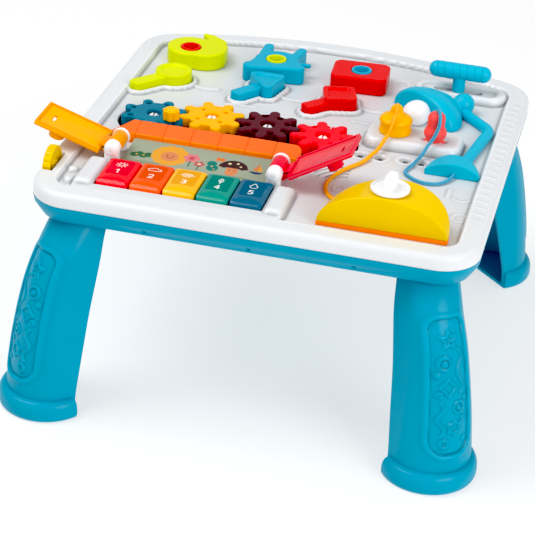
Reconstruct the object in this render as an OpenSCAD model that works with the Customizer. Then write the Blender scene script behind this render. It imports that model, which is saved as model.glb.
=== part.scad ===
// Musical activity table for small children: a white play shell on a coloured tray with four
// splayed half-shell legs, and toys that press, turn, slide, fold and lift out.
// Millimetres, +Z up, origin on the floor under the middle of the table, -Y is the front.

/* [Table] */
// Width of the table top
table_w = 440; // [436:1:446]
// Distance from the middle of the table to its front edge
table_front = 215; // [213:1:217]
// Distance from the middle of the table to the top of its arched back edge
table_back = 252; // [250:1:255]
// Radius of the arched back edge
back_arch_r = 520; // [500:5:560]
// Radius of the two front corners
front_corner_r = 40; // [36:1:44]
// Radius of the two back corners
back_corner_r = 45; // [40:1:48]
// Height of the seam between the tray and the white shell
seam_z = 220; // [219:1:221]
// Depth of the coloured tray band under the seam
tray_h = 19; // [18:1:20]
// How far the tray band leans in towards its bottom edge
tray_lean = 9; // [7:1:10]
// Height of the rim above the seam
rim_h = 15; // [14:1:16]
// Width of the raised rim around the play floor
rim_w = 23; // [22:1:24]
// How deep the play floor lies below the rim
floor_drop = 5; // [4.5:0.5:5]
// Wall thickness of the plastic shells
wall = 3; // [2.6:0.1:3.2]

/* [Legs] */
// Distance from the middle to the outer side of a foot, along X
foot_x = 244; // [243:1:248]
// Distance from the middle to the outer side of a foot, along Y
foot_y = 259; // [258:1:262]
// Radius of the half-round foot
foot_r = 48.5; // [47:0.5:51]
// Height of the thick collar at the foot
collar_h = 20; // [18:1:24]
// Width of the sunk panel on the outer corner of a leg
leg_panel_w = 44; // [40:1:52]

/* [Piano] */
// Number of piano keys
key_count = 5; // [5:1:5]
// Distance between the middles of two keys
key_pitch = 33.4; // [33:0.1:33.5]
// Gap between two keys
key_gap = 1; // [0.8:0.1:1.4]
// Height of the key tops above the play floor
key_rise = 10; // [9:0.5:11]

/* [Gears] */
// Number of teeth on each gear
gear_teeth = 8; // [8:1:8]
// Distance between the axles of two meshing gears
gear_pitch = 60; // [60:0.1:60.4]
// Outer radius of a gear, to the tips of its teeth
gear_tip_r = 34.4; // [34:0.1:34.5]
// Radius of the round end of a tooth
gear_tooth_r = 5.5; // [5:0.1:5.6]
// Thickness of a gear
gear_h = 11; // [10:0.5:12]

/* [Doors] */
// Length of a door leaf from its hinge pin to its free edge
door_len = 81.5; // [76:0.5:81.5]
// Width of a door leaf
door_w = 47; // [44:1:48]
// Angle of the open left door above the horizontal
door_left_open = 17.7; // [14:0.1:22]
// Angle of the open right door above the horizontal
door_right_open = 30.8; // [24:0.1:36]

/* [Loose toys] */
// Height of the three big blocks
block_h = 18.5; // [17:0.5:20]
// Radius of the hole in each block
block_hole_r = 8; // [7:0.5:8.5]
// Height of the head of a toy key
toy_key_h = 13; // [11:1:14]

/* [Half moon] */
// Width of the half moon box along its straight front
moon_w = 126; // [120:1:128]
// Depth of the half moon box
moon_d = 49; // [46:1:50]
// Height of the half moon box at its middle
moon_h = 37.5; // [34:0.5:38]
// Radius of the white turning knob on it
dial_r = 18.8; // [18:0.2:20]

/* [Slide handle] */
// Length of the ribbed grip
grip_len = 68; // [60:1:70]
// Radius of the ribbed grip
grip_r = 9; // [8:0.1:9.2]
// How far the handle slides to each side
slide_travel = 22; // [16:1:22]

/* [Cords] */
// Diameter of the yellow cord
yellow_cord_d = 4.2; // [3.6:0.1:4.4]
// Diameter of the braided blue cord
blue_cord_d = 3.7; // [3.4:0.1:3.9]

/* [Hidden] */
$fn = 48;

eps = 0.01;
// Clearance between a face that moves and the wall beside it
play = 0.5;
// Radial running fit of a pin in its bore
fit = 0.05;

rim_z = seam_z + rim_h;
floor_z = rim_z - floor_drop;
tray_z = seam_z - tray_h;
tray_floor_z = tray_z + wall;
shell_under_z = floor_z - wall;
// Lip of the play floor, in a rebate of the rim
lip_w = 1.5;
lip_h = 1.2;

// Arched back edge and its corners
arch_c = [0, table_back - back_arch_r];
corner_cx = table_w / 2 - back_corner_r;
corner_cy = arch_c[1] + sqrt(pow(back_arch_r - back_corner_r, 2) - pow(corner_cx, 2));
corner_a = atan2(corner_cy - arch_c[1], corner_cx);

// Piano keys
keys_x = -159;
key_front = -180.5;
key_back = -126.8;
key_axis = [-120, 222.8];
key_rod_r = 1.5;
// How far back and how far down a key rolls over at its front
key_roll = [15, 8.5];
key_corner_r = 5;
keys_end = keys_x + key_count * key_pitch;

// Roof panel between the gears and the picture
roof_front = -71;
roof_back = -50.5;
roof_left = -177;
roof_right = 19;
roof_front_h = 10;
roof_slope = 18;
roof_grooves = 6;
roof_groove_pitch = 28.6;

// Gear axles, the left gear and the right gear lie a little nearer to the front
gear_z = 228.6;
gear_root_r = gear_pitch - gear_tip_r - 0.6;
gear_bore_r = 4;
// The hub lies deep in a round sink, with the split catches of the axle on it
hub_sink = 5.6;
hub_sink_r = 7.4;
catch_z = gear_z + gear_h - hub_sink + 0.3;
line_ty = 194.5;
line_ym = -1;
line_mr = -5.5;
axle_yellow = [-90.5, 2];
axle_teal = axle_yellow + gear_pitch * [cos(line_ty), sin(line_ty)];
axle_maroon = axle_yellow + gear_pitch * [cos(line_ym), sin(line_ym)];
axle_red = axle_maroon + gear_pitch * [cos(line_mr), sin(line_mr)];
axles = [axle_teal, axle_yellow, axle_maroon, axle_red];
// A tooth of one gear points into a gap of the next one
turn_maroon = -2;
half_tooth = 180 / gear_teeth;
turn_yellow = 2 * line_ym + half_tooth - turn_maroon;
turn_teal = 2 * line_ty + half_tooth - turn_yellow;
turn_red = 2 * line_mr + half_tooth - turn_maroon;
crank_a = -28;
crank_r = 24.5;

// Doors
hinge_l = -159;
hinge_r = 6;
hinge_z = 246;
hinge_post_r = 9;
hinge_nose_r = 8;
door_front = -125;
door_drop = 8;
door_t = 3;
barrel_r = 8;
barrel_front = -117;
barrel_len = 22;
door_pin_r = 2;

// Thumbwheel at the left edge
wheel_c = [-212.5, -148, 231.2];
wheel_r = 19.5;
wheel_t = 8;

// Loose toys
block_z = floor_z + 0.1;
round_c = [-155, 150];
winged_c = [-58, 151];
square_c = [37, 155];
// Toy keys: middle of the head, direction and reach of the handle, height over the usual one
toy_keys = [[-158, 93], [-57, 100], [26, 93]];
toy_key_turn = [231, 235, 229];
toy_key_reach = [54, 45, 47];
toy_key_more = [0, 2, 2];
bezel_h = 3.6;
pocket_floor = floor_z + 0.6;

// Half moon
moon_x = 124;
moon_front = -182;
moon_rim_h = 4.5;
moon_lean = 9.6;
moon_steps = 40;
moon_shell = 0.94;
dial_c = [126, -160];
dial_z = floor_z + moon_h + 0.6;
dial_shaft_r = 4;

// Lamp relief: the shade is a closed dome on the play floor, with sections that start at its
// flat face: distance behind the face, half width, height
shade_c = [113.9, 95.4];
shade_turn = -38.5;
shade_levels = [[0, 42, 25.5], [1.6, 44.6, 27], [4, 46.2, 28], [11, 46.8, 28.4], [20, 42.7, 26.6],
                [29, 33.5, 23], [36, 26, 19.4]];
shade_len = shade_levels[len(shade_levels) - 1][0];
shade_wall = 3;
neck_c = [155.2, 121.6, 241];
neck_r = 12;
bulb_c = [111, 82.4, 240];
bulb_r = 14;
arm_r = 6;
arm_route = [[158, 113.6, 235.2], [163, 108, 234.2], [172, 98.3, 234], [181, 88.6, 234], [186.6, 82, 234],
             [189.2, 75, 234], [188.8, 67, 234], [186.8, 54, 234], [181.4, 20, 234],
             [175.4, -17, 234]];
arm_sides = 16;
lamp_base_c = [168.6, -38];
lamp_base_w = 56;
lamp_base_d = 25;
lamp_base_h = 15;
lamp_base_plan_r = (pow(lamp_base_w / 2, 2) + pow(lamp_base_d, 2)) / (2 * lamp_base_d);
lamp_vault_r = (pow(lamp_base_w / 2, 2) + 81) / 18;

// Plugs on their platform
deck_z = floor_z + 10.5;
deck_min = [70, 5];
deck_max = [168, 48];
yellow_plug_c = [98, 29];
coral_plug_c = [140.5, 22];
prong_r = 3;
yellow_prong_gap = 20;
coral_prong_gap = 16;
socket_r = 3.6;
rib_count = 21;
rib_start = -132;
rib_pitch = 14;
yellow_socket_c = [82, -18];
coral_socket_c = [126, -15.5];

// Slide handle
slide_c = [143, 166];
grip_z = 259;

// Speaker and its slots
speaker_c = [53, -65];
speaker_r = 25;

// Electronics
board_z = 216.4;
board_t = 1.6;
pad_y = -165;
battery_c = [0, 76];
battery_r = 7.1;
battery_len = 50;
battery_pitch = 16;

// Screws
screw_r = 1.5;
shell_screw_at = [[-203.4, -112], [203.4, -112], [-203.4, 40], [203.4, 40],
                  [-60, -199], [60, -199], [-80, 232], [80, 232]];
leg_screw_at = [[185, 158], [160, 183]];
front_hole_x = [-99, 4, 106];

// Cord routes, hand-laid: out of the plug, down its front and along the play floor
// Each plug cord leaves its plug through a short gland on the line from gland_c along gland_n
yellow_gland_c = [98, 29, 264.6];
yellow_gland_n = [0.1, -0.55, 0.829];
yellow_gland_end = 7.8;
blue_gland_c = [140.5, 22, 265.2];
blue_gland_n = [0.1, -0.25, 0.963];
blue_gland_end = 8.4;
gland_r = 2.7;
gland_gap = 0.03;
yellow_route = concat(
    [for (t = [gland_gap, 0.9, 1.8]) yellow_gland_c + (yellow_gland_end + t) * yellow_gland_n],
    [[99.4, 20.6, 273.4], [99.5, 17.8, 270.6], [99.1, 15.2, 264.8], [97.9, 11.2, 258.6],
     [96.2, 8.4, 252], [94.4, 7, 246], [92, 2.6, 242], [89.4, -4.4, 237.4], [86.6, -13.4, 234.8],
     [83.2, -23.3, 234.1], [79, -34.4, 232.2], [73, -45.6, 232.2], [66, -56.6, 232.2],
     [60, -69, 232.2], [55.6, -82.5, 232.2], [53.6, -96, 232.2], [55.2, -109, 232.2],
     [60.4, -121.4, 232.8], [67.4, -132, 234.6], [75, -140.4, 236.4], [82.6, -147.2, 237.4],
     [86.6, -151, 237.6]]);
blue_route = concat(
    [for (t = [gland_gap, 0.9, 1.8]) blue_gland_c + (blue_gland_end + t) * blue_gland_n],
    [[142.9, 16.6, 276.2], [144.8, 13, 273], [145.6, 10.6, 267], [144.8, 9, 260],
     [142.6, 7.4, 253], [139.8, 5.6, 247], [136.8, 2, 242.6], [134.2, -3.4, 237.8],
     [132, -9.6, 234.8], [129.6, -18.6, 234], [126.8, -28.4, 233], [123.4, -37.4, 232],
     [122.8, -45, 232], [127.4, -52, 232], [136.4, -59, 232], [147.6, -62, 232],
     [158.6, -58.6, 232], [166.6, -49.6, 232.8], [170, -40, 234], [170.6, -33, 235]]);
cord_steps = 2;
cord_sides = 8;

// Points of an arc, anticlockwise from a0 to a1
function around(r, a) = r * [cos(a), sin(a)];
function arc(c, r, a0, a1, n = 10) = [for (i = [0:n]) c + around(r, a0 + (a1 - a0) * i / n)];

// The table outline, set in by inset all round
module outline(inset = 0) {
    half = table_w / 2 - inset;
    fr = front_corner_r - inset;
    br = max(back_corner_r - inset, 4);
    front = -table_front + inset;
    bx = corner_cx + back_corner_r - inset - br;
    polygon(concat(
        arc([-half + fr, front + fr], fr, 180, 270, 8),
        arc([half - fr, front + fr], fr, 270, 360, 8),
        arc([bx, corner_cy], br, 0, corner_a, 7),
        arc(arch_c, back_arch_r - inset, corner_a, 180 - corner_a, 16),
        arc([-bx, corner_cy], br, 180 - corner_a, 180, 7)));
}

module slab(z0, z1, inset = 0) {
    translate([0, 0, z0])
        linear_extrude(z1 - z0)
            outline(inset);
}

module at_both_sides() {
    children();
    mirror([1, 0, 0])
        children();
}

// A round-ended bar lying along X, seen from above
module capsule(len, r) {
    square([len - 2 * r, 2 * r], center = true);
    for (s = [-1, 1])
        translate([s * (len / 2 - r), 0])
            circle(r);
}

module rounded_rect(lo, hi, r) {
    translate([lo[0] + r, lo[1]])
        square([hi[0] - lo[0] - 2 * r, hi[1] - lo[1]]);
    translate([lo[0], lo[1] + r])
        square([hi[0] - lo[0], hi[1] - lo[1] - 2 * r]);
    for (x = [lo[0] + r, hi[0] - r], y = [lo[1] + r, hi[1] - r])
        translate([x, y])
            circle(r);
}

module y_cylinder(r, len) {
    rotate([-90, 0, 0])
        cylinder(r = r, h = len);
}

module x_cylinder(r, len) {
    rotate([0, 90, 0])
        cylinder(r = r, h = len);
}

// ---------- shells ----------

// Outer form of the white shell with its rounded rim edge
module shell_block() {
    hull() {
        slab(seam_z, rim_z - 6, 0);
        slab(rim_z - 3, rim_z - 2.9, 1);
        slab(rim_z - 1, rim_z - 0.9, 3);
        slab(rim_z - eps, rim_z, 6);
    }
}

// White cheek beside the outer piano keys
module key_cheek(x0, x1) {
    translate([x0, -188, floor_z - eps])
        cube([x1 - x0, 61, 6]);
    translate([x0 + 2, -184, floor_z])
        cube([x1 - x0 - 4, 55, 9]);
}

module piano_opening() {
    translate([keys_x - 0.6, -182, shell_under_z - 1])
        cube([keys_end - keys_x + 1.2, 56, wall + 10]);
}

// Round-nosed hinge post in front of a door barrel and the ear behind it
module hinge_post(x) {
    translate([x, barrel_front - play, hinge_z])
        rotate([90, 0, 0])
            rotate_extrude()
                polygon(concat([[0, 0], [hinge_nose_r, 0]],
                               arc([hinge_nose_r - 6, 5.4], 6, 0, 72, 6),
                               [[0, 11.6]]));
    translate([x - 7, barrel_front - play - 9, floor_z])
        cube([14, 9, hinge_z - floor_z]);
    translate([x, barrel_front + barrel_len + play, hinge_z])
        y_cylinder(hinge_post_r, 3.5);
    translate([x - 7, barrel_front + barrel_len + play, floor_z])
        cube([14, 3.5, hinge_z - floor_z]);
}

module door_hinge_posts() {
    color("white")
        difference() {
            for (x = [hinge_l, hinge_r])
                hinge_post(x);
            for (x = [hinge_l, hinge_r])
                translate([x, barrel_front - 9, hinge_z])
                    y_cylinder(door_pin_r, barrel_len + 14);
            piano_opening();
        }
}

// Ring or pocket that holds toy key i
module toy_key_nest(i, grow, z0, z1) {
    translate([toy_keys[i][0], toy_keys[i][1], z0])
        linear_extrude(z1 - z0)
            offset(r = grow) {
                toy_key_head(i);
                toy_key_handle(i);
            }
}

// Raised arcs beside the toy keys and small pictures in relief at the right
module floor_arc(c, r, a0, a1, w, h) {
    translate([c[0], c[1], floor_z - eps])
        linear_extrude(h)
            polygon(concat(arc([0, 0], r, a0, a1, 12), arc([0, 0], r - w, a1, a0, 12)));
}

module small_reliefs() {
    floor_arc([-118, 118], 36, 235, 290, 5, 1.6);
    floor_arc([-22, 122], 36, 245, 300, 5, 1.6);
    floor_arc([66, 122], 34, 225, 285, 5, 1.6);
    floor_arc([186, -78], 10, 200, 330, 3, 1.2);
    floor_arc([190, -122], 9, 20, 300, 2.6, 1.2);
    floor_arc([67, -101], 7, 30, 230, 2.4, 1.6);
    translate([170, -80, floor_z - eps])
        cube([3, 16, 1.4]);
    for (p = [[-190.5, -150, 4.5], [-187, -172, 5], [-184, -187, 2.7]])
        translate([p[0], p[1], floor_z])
            sphere(p[2]);
}

module washboard() {
    for (i = [0:rib_count - 1])
        translate([table_w / 2 - rim_w / 2 - 1, rib_start + rib_pitch * i, rim_z - eps])
            rotate(-18)
                linear_extrude(0.9)
                    capsule(15, 2.4);
}

module play_floor_reliefs() {
    // low plinth around the piano, cut out for the noses of the hinge posts
    difference() {
        union() {
            translate([-180, -192, floor_z - eps])
                cube([209, 69.5, rim_z - floor_z + eps]);
            key_cheek(-180, keys_x - 0.7);
            key_cheek(keys_end + 0.7, 29);
        }
        hinge_post(hinge_l);
        hinge_post(hinge_r);
    }
    small_reliefs();
    translate([0, 0, floor_z - eps])
        linear_extrude(deck_z - floor_z)
            rounded_rect(deck_min, deck_max, 12);
    translate([slide_c[0] + 3, slide_c[1] + 2, floor_z - eps])
        linear_extrude(8.4)
            capsule(98, 17);
    for (i = [0:2])
        toy_key_nest(i, 5, floor_z - eps, floor_z + bezel_h);
    for (c = [yellow_socket_c, coral_socket_c])
        translate([c[0], c[1], floor_z - eps])
            linear_extrude(1.4)
                capsule(36, 8);
}

module socket_pair(c, gap, z0, z1) {
    for (s = [-1, 1])
        translate([c[0] + s * gap / 2, c[1], z0])
            cylinder(r = socket_r, h = z1 - z0);
}

module speaker_slots() {
    for (i = [0:3])
        intersection() {
            translate([speaker_c[0] + 22, speaker_c[1] - 30, shell_under_z - 1])
                difference() {
                    cylinder(r = 25 + 7 * i, h = wall + 2);
                    translate([0, 0, -1])
                        cylinder(r = 22.6 + 7 * i, h = wall + 4);
                }
            translate([speaker_c[0] - 17, speaker_c[1] - 16, shell_under_z - 1])
                cube([34, 34, wall + 2]);
        }
}

// Rim and skirt of the table, with the rebate that the play floor is pressed into
module top_shell() {
    color("white")
        difference() {
            union() {
                difference() {
                    shell_block();
                    slab(seam_z - 1, rim_z + 1, rim_w);
                    slab(seam_z - 1, shell_under_z + lip_h, rim_w - lip_w);
                    slab(seam_z - 1, shell_under_z, wall);
                    // hollow under the rim
                    difference() {
                        slab(shell_under_z - eps, rim_z - wall, wall + 1.5);
                        slab(shell_under_z - 1, rim_z, rim_w - wall);
                    }
                }
                washboard();
                // screw bosses that stand on the tray bosses
                for (p = shell_screw_at)
                    translate([p[0], p[1], seam_z - 4])
                        cylinder(r = 4.5, h = rim_z - wall - seam_z + 4 + eps);
                // bracket for the thumbwheel axle
                translate([-204.5, wheel_c[1] - 5, seam_z + 1])
                    cube([5.5, 10, rim_z - wall - seam_z - 1 + eps]);
            }
            // opening for the thumbwheel, and the bore of its axle
            translate([-230, wheel_c[1] - wheel_r - 1.5, seam_z - 1])
                cube([230 + wheel_c[0] + wheel_t / 2 + 3, 2 * wheel_r + 3, 40]);
            translate([-206, wheel_c[1], wheel_c[2]])
                x_cylinder(2, 5.6);
            for (p = shell_screw_at)
                translate([p[0], p[1], seam_z - 5])
                    cylinder(r = screw_r, h = 10);
        }
}

// Recessed floor with everything that is moulded on it
module play_floor() {
    color("white")
        difference() {
            union() {
                slab(shell_under_z, floor_z, rim_w);
                slab(shell_under_z, shell_under_z + lip_h, rim_w - lip_w);
                intersection() {
                    play_floor_reliefs();
                    slab(floor_z - 1, floor_z + 30, rim_w);
                }
                translate([0, 0, floor_z - 10])
                    socket_pair_walls();
            }
            piano_opening();
            // gear wells
            for (a = axles)
                translate([a[0], a[1], shell_under_z - 1])
                    cylinder(r = gear_tip_r + 2.6, h = wall + 2);
            for (i = [0:2])
                toy_key_nest(i, 0.9, pocket_floor, floor_z + bezel_h + 1);
            // the bezels make room for the block behind them
            translate([winged_c[0], winged_c[1], floor_z])
                linear_extrude(bezel_h + 1)
                    offset(r = play)
                        winged_block_plan();
            speaker_slots();
            socket_pair(yellow_socket_c, yellow_prong_gap, floor_z - 8, floor_z + 2);
            socket_pair(coral_socket_c, coral_prong_gap, floor_z - 8, floor_z + 2);
            socket_pair(yellow_plug_c, yellow_prong_gap, deck_z - 8, deck_z + 1);
            socket_pair(coral_plug_c, coral_prong_gap, deck_z - 8, deck_z + 1);
            // slide track: a dished top and a slot right through
            translate([slide_c[0] + 1, slide_c[1], floor_z + 6.2])
                linear_extrude(4)
                    capsule(80, 10);
            translate([slide_c[0], slide_c[1], shell_under_z - 1])
                linear_extrude(14)
                    capsule(2 * slide_travel + 10, 4.4);
        }
}

// Walls of the blind sockets under the floor
module socket_pair_walls() {
    for (s = [-1, 1]) {
        translate([yellow_socket_c[0] + s * yellow_prong_gap / 2, yellow_socket_c[1], 0])
            cylinder(r = socket_r + 1.6, h = 8);
        translate([coral_socket_c[0] + s * coral_prong_gap / 2, coral_socket_c[1], 0])
            cylinder(r = socket_r + 1.6, h = 8);
    }
}

module bottom_shell() {
    color([0.0, 0.62, 0.74])
        difference() {
            union() {
                difference() {
                    hull() {
                        slab(seam_z - 0.1, seam_z, 0);
                        slab(seam_z - 6, seam_z - 5.9, 0.8);
                        slab(tray_z, tray_z + 0.1, tray_lean);
                    }
                    hull() {
                        slab(seam_z + 1, seam_z + 1.1, wall - 0.4);
                        slab(tray_floor_z, tray_floor_z + 0.1, tray_lean + wall);
                    }
                }
                for (p = shell_screw_at)
                    translate([p[0], p[1], tray_z + 1])
                        cylinder(r = 4.5, h = seam_z - 4 - tray_z - 1);
                at_both_sides()
                    for (s = [-1, 1], p = leg_screw_at)
                        translate([p[0], s * p[1], tray_z + 1])
                            cylinder(r = 4.5, h = 12);
                // posts that carry the circuit board
                for (x = [-150, -75, 0], y = [-174, -146])
                    translate([x, y, tray_z + 1])
                        cylinder(r = 3, h = board_z - tray_z - 1);
                // end walls of the battery box
                for (s = [-1, 1])
                    translate([battery_c[0] + s * 31.2 - 1.2, battery_c[1] - 26, tray_z + 1])
                        cube([2.4, 52, 18]);
                // cradles of the gear tray
                for (a = axles)
                    translate([a[0], a[1], tray_z + 1])
                        cylinder(r = 8, h = 222.4 - tray_z - 1);
            }
            // battery opening
            translate([battery_c[0] - 30, battery_c[1] - 27, tray_z - 1])
                cube([60, 54, wall + 3]);
            // slot of the power switch
            translate([52, battery_c[1] - 3, tray_z - 1])
                cube([14, 6, wall + 2]);
            for (p = shell_screw_at)
                translate([p[0], p[1], tray_z - 1]) {
                    cylinder(r = screw_r + fit, h = 24);
                    cylinder(r = 3.4, h = 6);
                }
            at_both_sides()
                for (s = [-1, 1], p = leg_screw_at)
                    translate([p[0], s * p[1], tray_z - 1])
                        cylinder(r = screw_r, h = 11);
            // small round sinks along the front band
            for (x = front_hole_x)
                translate([x, -table_front - 2, tray_z + 5.5])
                    y_cylinder(1.9, 9);
            // opening for the thumbwheel
            translate([-230, wheel_c[1] - wheel_r - 1.5, wheel_c[2] - wheel_r - 1.5])
                cube([230 + wheel_c[0] + wheel_t / 2 + 3, 2 * wheel_r + 3, 40]);
        }
}

// ---------- legs ----------

// Leg sections, each half round on the outside: height, middle in X and -Y, radius and
// length of the straight wings
leg_levels = [[4, 195.5, 210.5, 42, 10], [collar_h, 195.5, 208.2, 41.6, 10], [66, 195.5, 208, 37, 10],
              [107, 193.5, 205, 32.5, 10], [140, 189.5, 200.5, 30, 10], [168, 183, 194, 28, 12],
              [188, 177.5, 182, 27.5, 14], [tray_z, 172.5, 170, 27, 15]];
// Collar sections: height, how far inside the full foot radius, how far the round goes on
collar_levels = [[0, 2.6], [2, 0.9], [6, 0], [12, 0.3], [16.5, 1.5], [19, 3.4], [collar_h + 0.4, 6.4]];
collar_past = 13;
leg_panel_z = [38, 171];

// Plan of a leg section: an outer half round and two straight wings towards the table's middle
module leg_plan(cx, cy, r, wing) {
    c = [cx, -cy];
    inward = wing * [-sqrt(0.5), sqrt(0.5)];
    rim = arc(c, r, -135, 45, 20);
    polygon(concat(rim, [rim[20] + inward, rim[0] + inward]));
}

module leg_form(inset, past, z0, z1) {
    hull()
        for (l = leg_levels)
            translate([0, 0, min(max(l[0], z0), z1 - 0.1)])
                linear_extrude(0.1)
                    leg_plan(l[1], l[2], l[3] - inset, l[4] + past);
}

module leg_collar() {
    hull()
        for (l = collar_levels)
            translate([foot_x - foot_r, -foot_y + foot_r, l[0]])
                linear_extrude(0.1)
                    polygon(arc([0, 0], foot_r - l[1], -135 - collar_past, 45 + collar_past, 26));
}

// Sunk panel on the outer corner, a little narrower at its top
module leg_panel() {
    w = leg_panel_w / 2;
    z0 = leg_panel_z[0];
    z1 = leg_panel_z[1];
    translate([150, -170, 0])
        rotate([90, 0, 45])
            linear_extrude(120)
                polygon(concat(arc([w - 16, z1 - 14], 11, 0, 90, 6),
                               arc([-w + 16, z1 - 14], 11, 90, 180, 6),
                               arc([-w + 20, z0 + 20], 20, 180, 270, 8),
                               arc([w - 20, z0 + 20], 20, 270, 360, 8)));
}

module leg() {
    color([0.0, 0.62, 0.74])
        difference() {
            union() {
                leg_form(0, 0, 4, tray_z);
                leg_collar();
            }
            // hollow, open towards the middle of the table
            leg_form(wall, 40, 4, tray_z - wall);
            difference() {
                leg_panel();
                leg_form(1.7, 0, 4, tray_z);
            }
            for (p = leg_screw_at)
                translate([p[0], -p[1], tray_z - wall - 1])
                    cylinder(r = screw_r + fit, h = wall + 2);
        }
}

module leg_front_right() leg();
module leg_front_left() mirror([1, 0, 0]) leg();
module leg_back_right() mirror([0, 1, 0]) leg();
module leg_back_left() mirror([1, 0, 0]) mirror([0, 1, 0]) leg();

// ---------- fasteners and electrics ----------

module screw(len, head_r = 3) {
    cylinder(r = screw_r, h = len);
    translate([0, 0, -2])
        difference() {
            cylinder(r = head_r, h = 2);
            translate([-2, -0.4, -1])
                cube([4, 0.8, 1.8]);
            translate([-0.4, -2, -1])
                cube([0.8, 4, 1.8]);
        }
}

module leg_screws() {
    color("silver")
        at_both_sides()
            for (s = [-1, 1], p = leg_screw_at)
                translate([p[0], s * p[1], tray_z - wall])
                    screw(wall + 10);
}

module shell_screws() {
    color("silver")
        for (p = shell_screw_at)
            translate([p[0], p[1], tray_z + 5])
                screw(19);
}

module battery_door() {
    color([0.0, 0.58, 0.70])
        difference() {
            union() {
                translate([battery_c[0] - 29.7, battery_c[1] - 26.7, tray_z])
                    cube([59.4, 53.4, 2.2]);
                // finger ribs
                for (i = [0:3])
                    translate([battery_c[0] - 10, battery_c[1] + 10 + 3 * i, tray_z - 0.6])
                        cube([20, 1.2, 0.7]);
            }
            translate([battery_c[0], battery_c[1] - 23, tray_z - 1])
                cylinder(r = screw_r + fit, h = 5);
        }
}

module battery_door_screw() {
    color("silver")
        translate([battery_c[0], battery_c[1] - 23, tray_z])
            screw(6);
}

module batteries() {
    color("dimgray")
        for (i = [-1:1])
            translate([battery_c[0] - battery_len / 2, battery_c[1] + 2 + i * battery_pitch,
                       tray_floor_z + battery_r]) {
                x_cylinder(battery_r, battery_len - 1.5);
                x_cylinder(2.6, battery_len);
            }
}

module battery_contacts() {
    color("gold")
        for (i = [-1:1], s = [-1, 1])
            translate([battery_c[0] + s * 27.5 - 2.5, battery_c[1] + 2 + i * battery_pitch,
                       tray_floor_z + battery_r]) {
                translate([s < 0 ? 0 : 0.3, 0, 0])
                    x_cylinder(3.6, 4.7);
                translate([s < 0 ? 0 : 4.6, -5, -5])
                    cube([0.4, 10, 10]);
            }
}

// Slide button in the tray floor, with its flange inside
module power_switch() {
    color("black") {
        translate([52.5, battery_c[1] - 2.6, tray_z - 1.5])
            cube([8, 5.2, wall + 1.8]);
        translate([48, battery_c[1] - 6, tray_floor_z + 0.2])
            cube([17, 12, 3]);
    }
}

module speaker() {
    color("dimgray")
        translate([speaker_c[0], speaker_c[1], shell_under_z - 0.2])
            rotate_extrude()
                polygon([[0, -16], [12, -16], [12, -11], [speaker_r - 4, -3], [speaker_r, -3],
                         [speaker_r, 0], [speaker_r - 3, 0], [speaker_r - 4, -1], [9, -7], [0, -5]]);
}

module circuit_board() {
    color("darkgreen") {
        translate([keys_x + 2, -178, board_z])
            cube([keys_end - keys_x - 4, 38, board_t]);
        translate([-60, -150, board_z + board_t])
            cube([14, 8, 1.6]);
    }
}

module key_contact_pads() {
    color("gray")
        for (i = [0:key_count - 1])
            translate([keys_x + key_pitch * (i + 0.5), pad_y, board_z + board_t]) {
                cylinder(r = 6, h = 0.8);
                cylinder(r1 = 4.5, r2 = 3, h = 2.6);
            }
}

// ---------- piano ----------

// Side view of a key: gently crowned top that rolls over at the front
function key_side() = concat(
    [[key_back, floor_z - 5], [key_back, floor_z + key_rise - 1.4]],
    [for (i = [1:6]) [key_back + (key_front + key_roll[0] - key_back) * i / 6,
                      floor_z + key_rise - 1.4 + 1.4 * sin(30 * i / 2 + 15 * i / 6)]],
    [for (a = [75:-12.5:0])
     [key_front + key_roll[0] * (1 - cos(a)), floor_z + key_rise - key_roll[1] * (1 - sin(a))]],
    [[key_front, floor_z - 4]]);

module piano_key(i, tint) {
    x0 = keys_x + key_pitch * i + key_gap / 2;
    w = key_pitch - key_gap;
    color(tint)
        difference() {
            union() {
                intersection() {
                    translate([x0 + w, 0, 0])
                        rotate([90, 0, -90])
                            linear_extrude(w)
                                polygon([for (p = key_side()) [-p[0], p[1]]]);
                    // crowned across as well
                    translate([x0 + w / 2, key_front - 10, floor_z + key_rise - 60])
                        y_cylinder(60, 80);
                    translate([x0, key_front, floor_z - 6])
                        linear_extrude(2 * key_rise)
                            rounded_rect([0, 0], [w, 80], key_corner_r);
                }
                // arm to the hinge barrel
                translate([x0 + 8, key_back - 4, key_axis[1] - 2.6])
                    cube([w - 16, key_axis[0] - key_back + 4, 5.2]);
                translate([x0 + 8, key_axis[0], key_axis[1]])
                    x_cylinder(3, w - 16);
            }
            // underside hollow
            translate([x0 + 2.4, key_front + 2.4, floor_z - 10])
                cube([w - 4.8, key_back - key_front - 8.8, 10 + key_rise - 6]);
            translate([x0, key_axis[0], key_axis[1]])
                x_cylinder(key_rod_r + fit, w);
        }
    // plunger over the contact pad
    color(tint)
        translate([x0 + w / 2, pad_y, floor_z - 5.4])
            cylinder(r = 3.5, h = 5.4 + key_rise - 4);
}

module piano_key_1() piano_key(0, [0.93, 0.05, 0.12]);
module piano_key_2() piano_key(1, [0.98, 0.36, 0.06]);
module piano_key_3() piano_key(2, [0.99, 0.72, 0.1]);
module piano_key_4() piano_key(3, [0.06, 0.6, 0.52]);
module piano_key_5() piano_key(4, [0.0, 0.37, 0.5]);

// Steel rod through the five key barrels, with the two blocks that hold it
module key_hinge_rod() {
    color("silver")
        translate([keys_x - 3, key_axis[0], key_axis[1]])
            x_cylinder(key_rod_r, keys_end - keys_x + 6);
    color("silver")
        for (x = [keys_x - 3, keys_end - 1])
            translate([x, key_axis[0] - 3, key_axis[1] - 2])
                cube([4, 6, shell_under_z - key_axis[1] + 2]);
}

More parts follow.
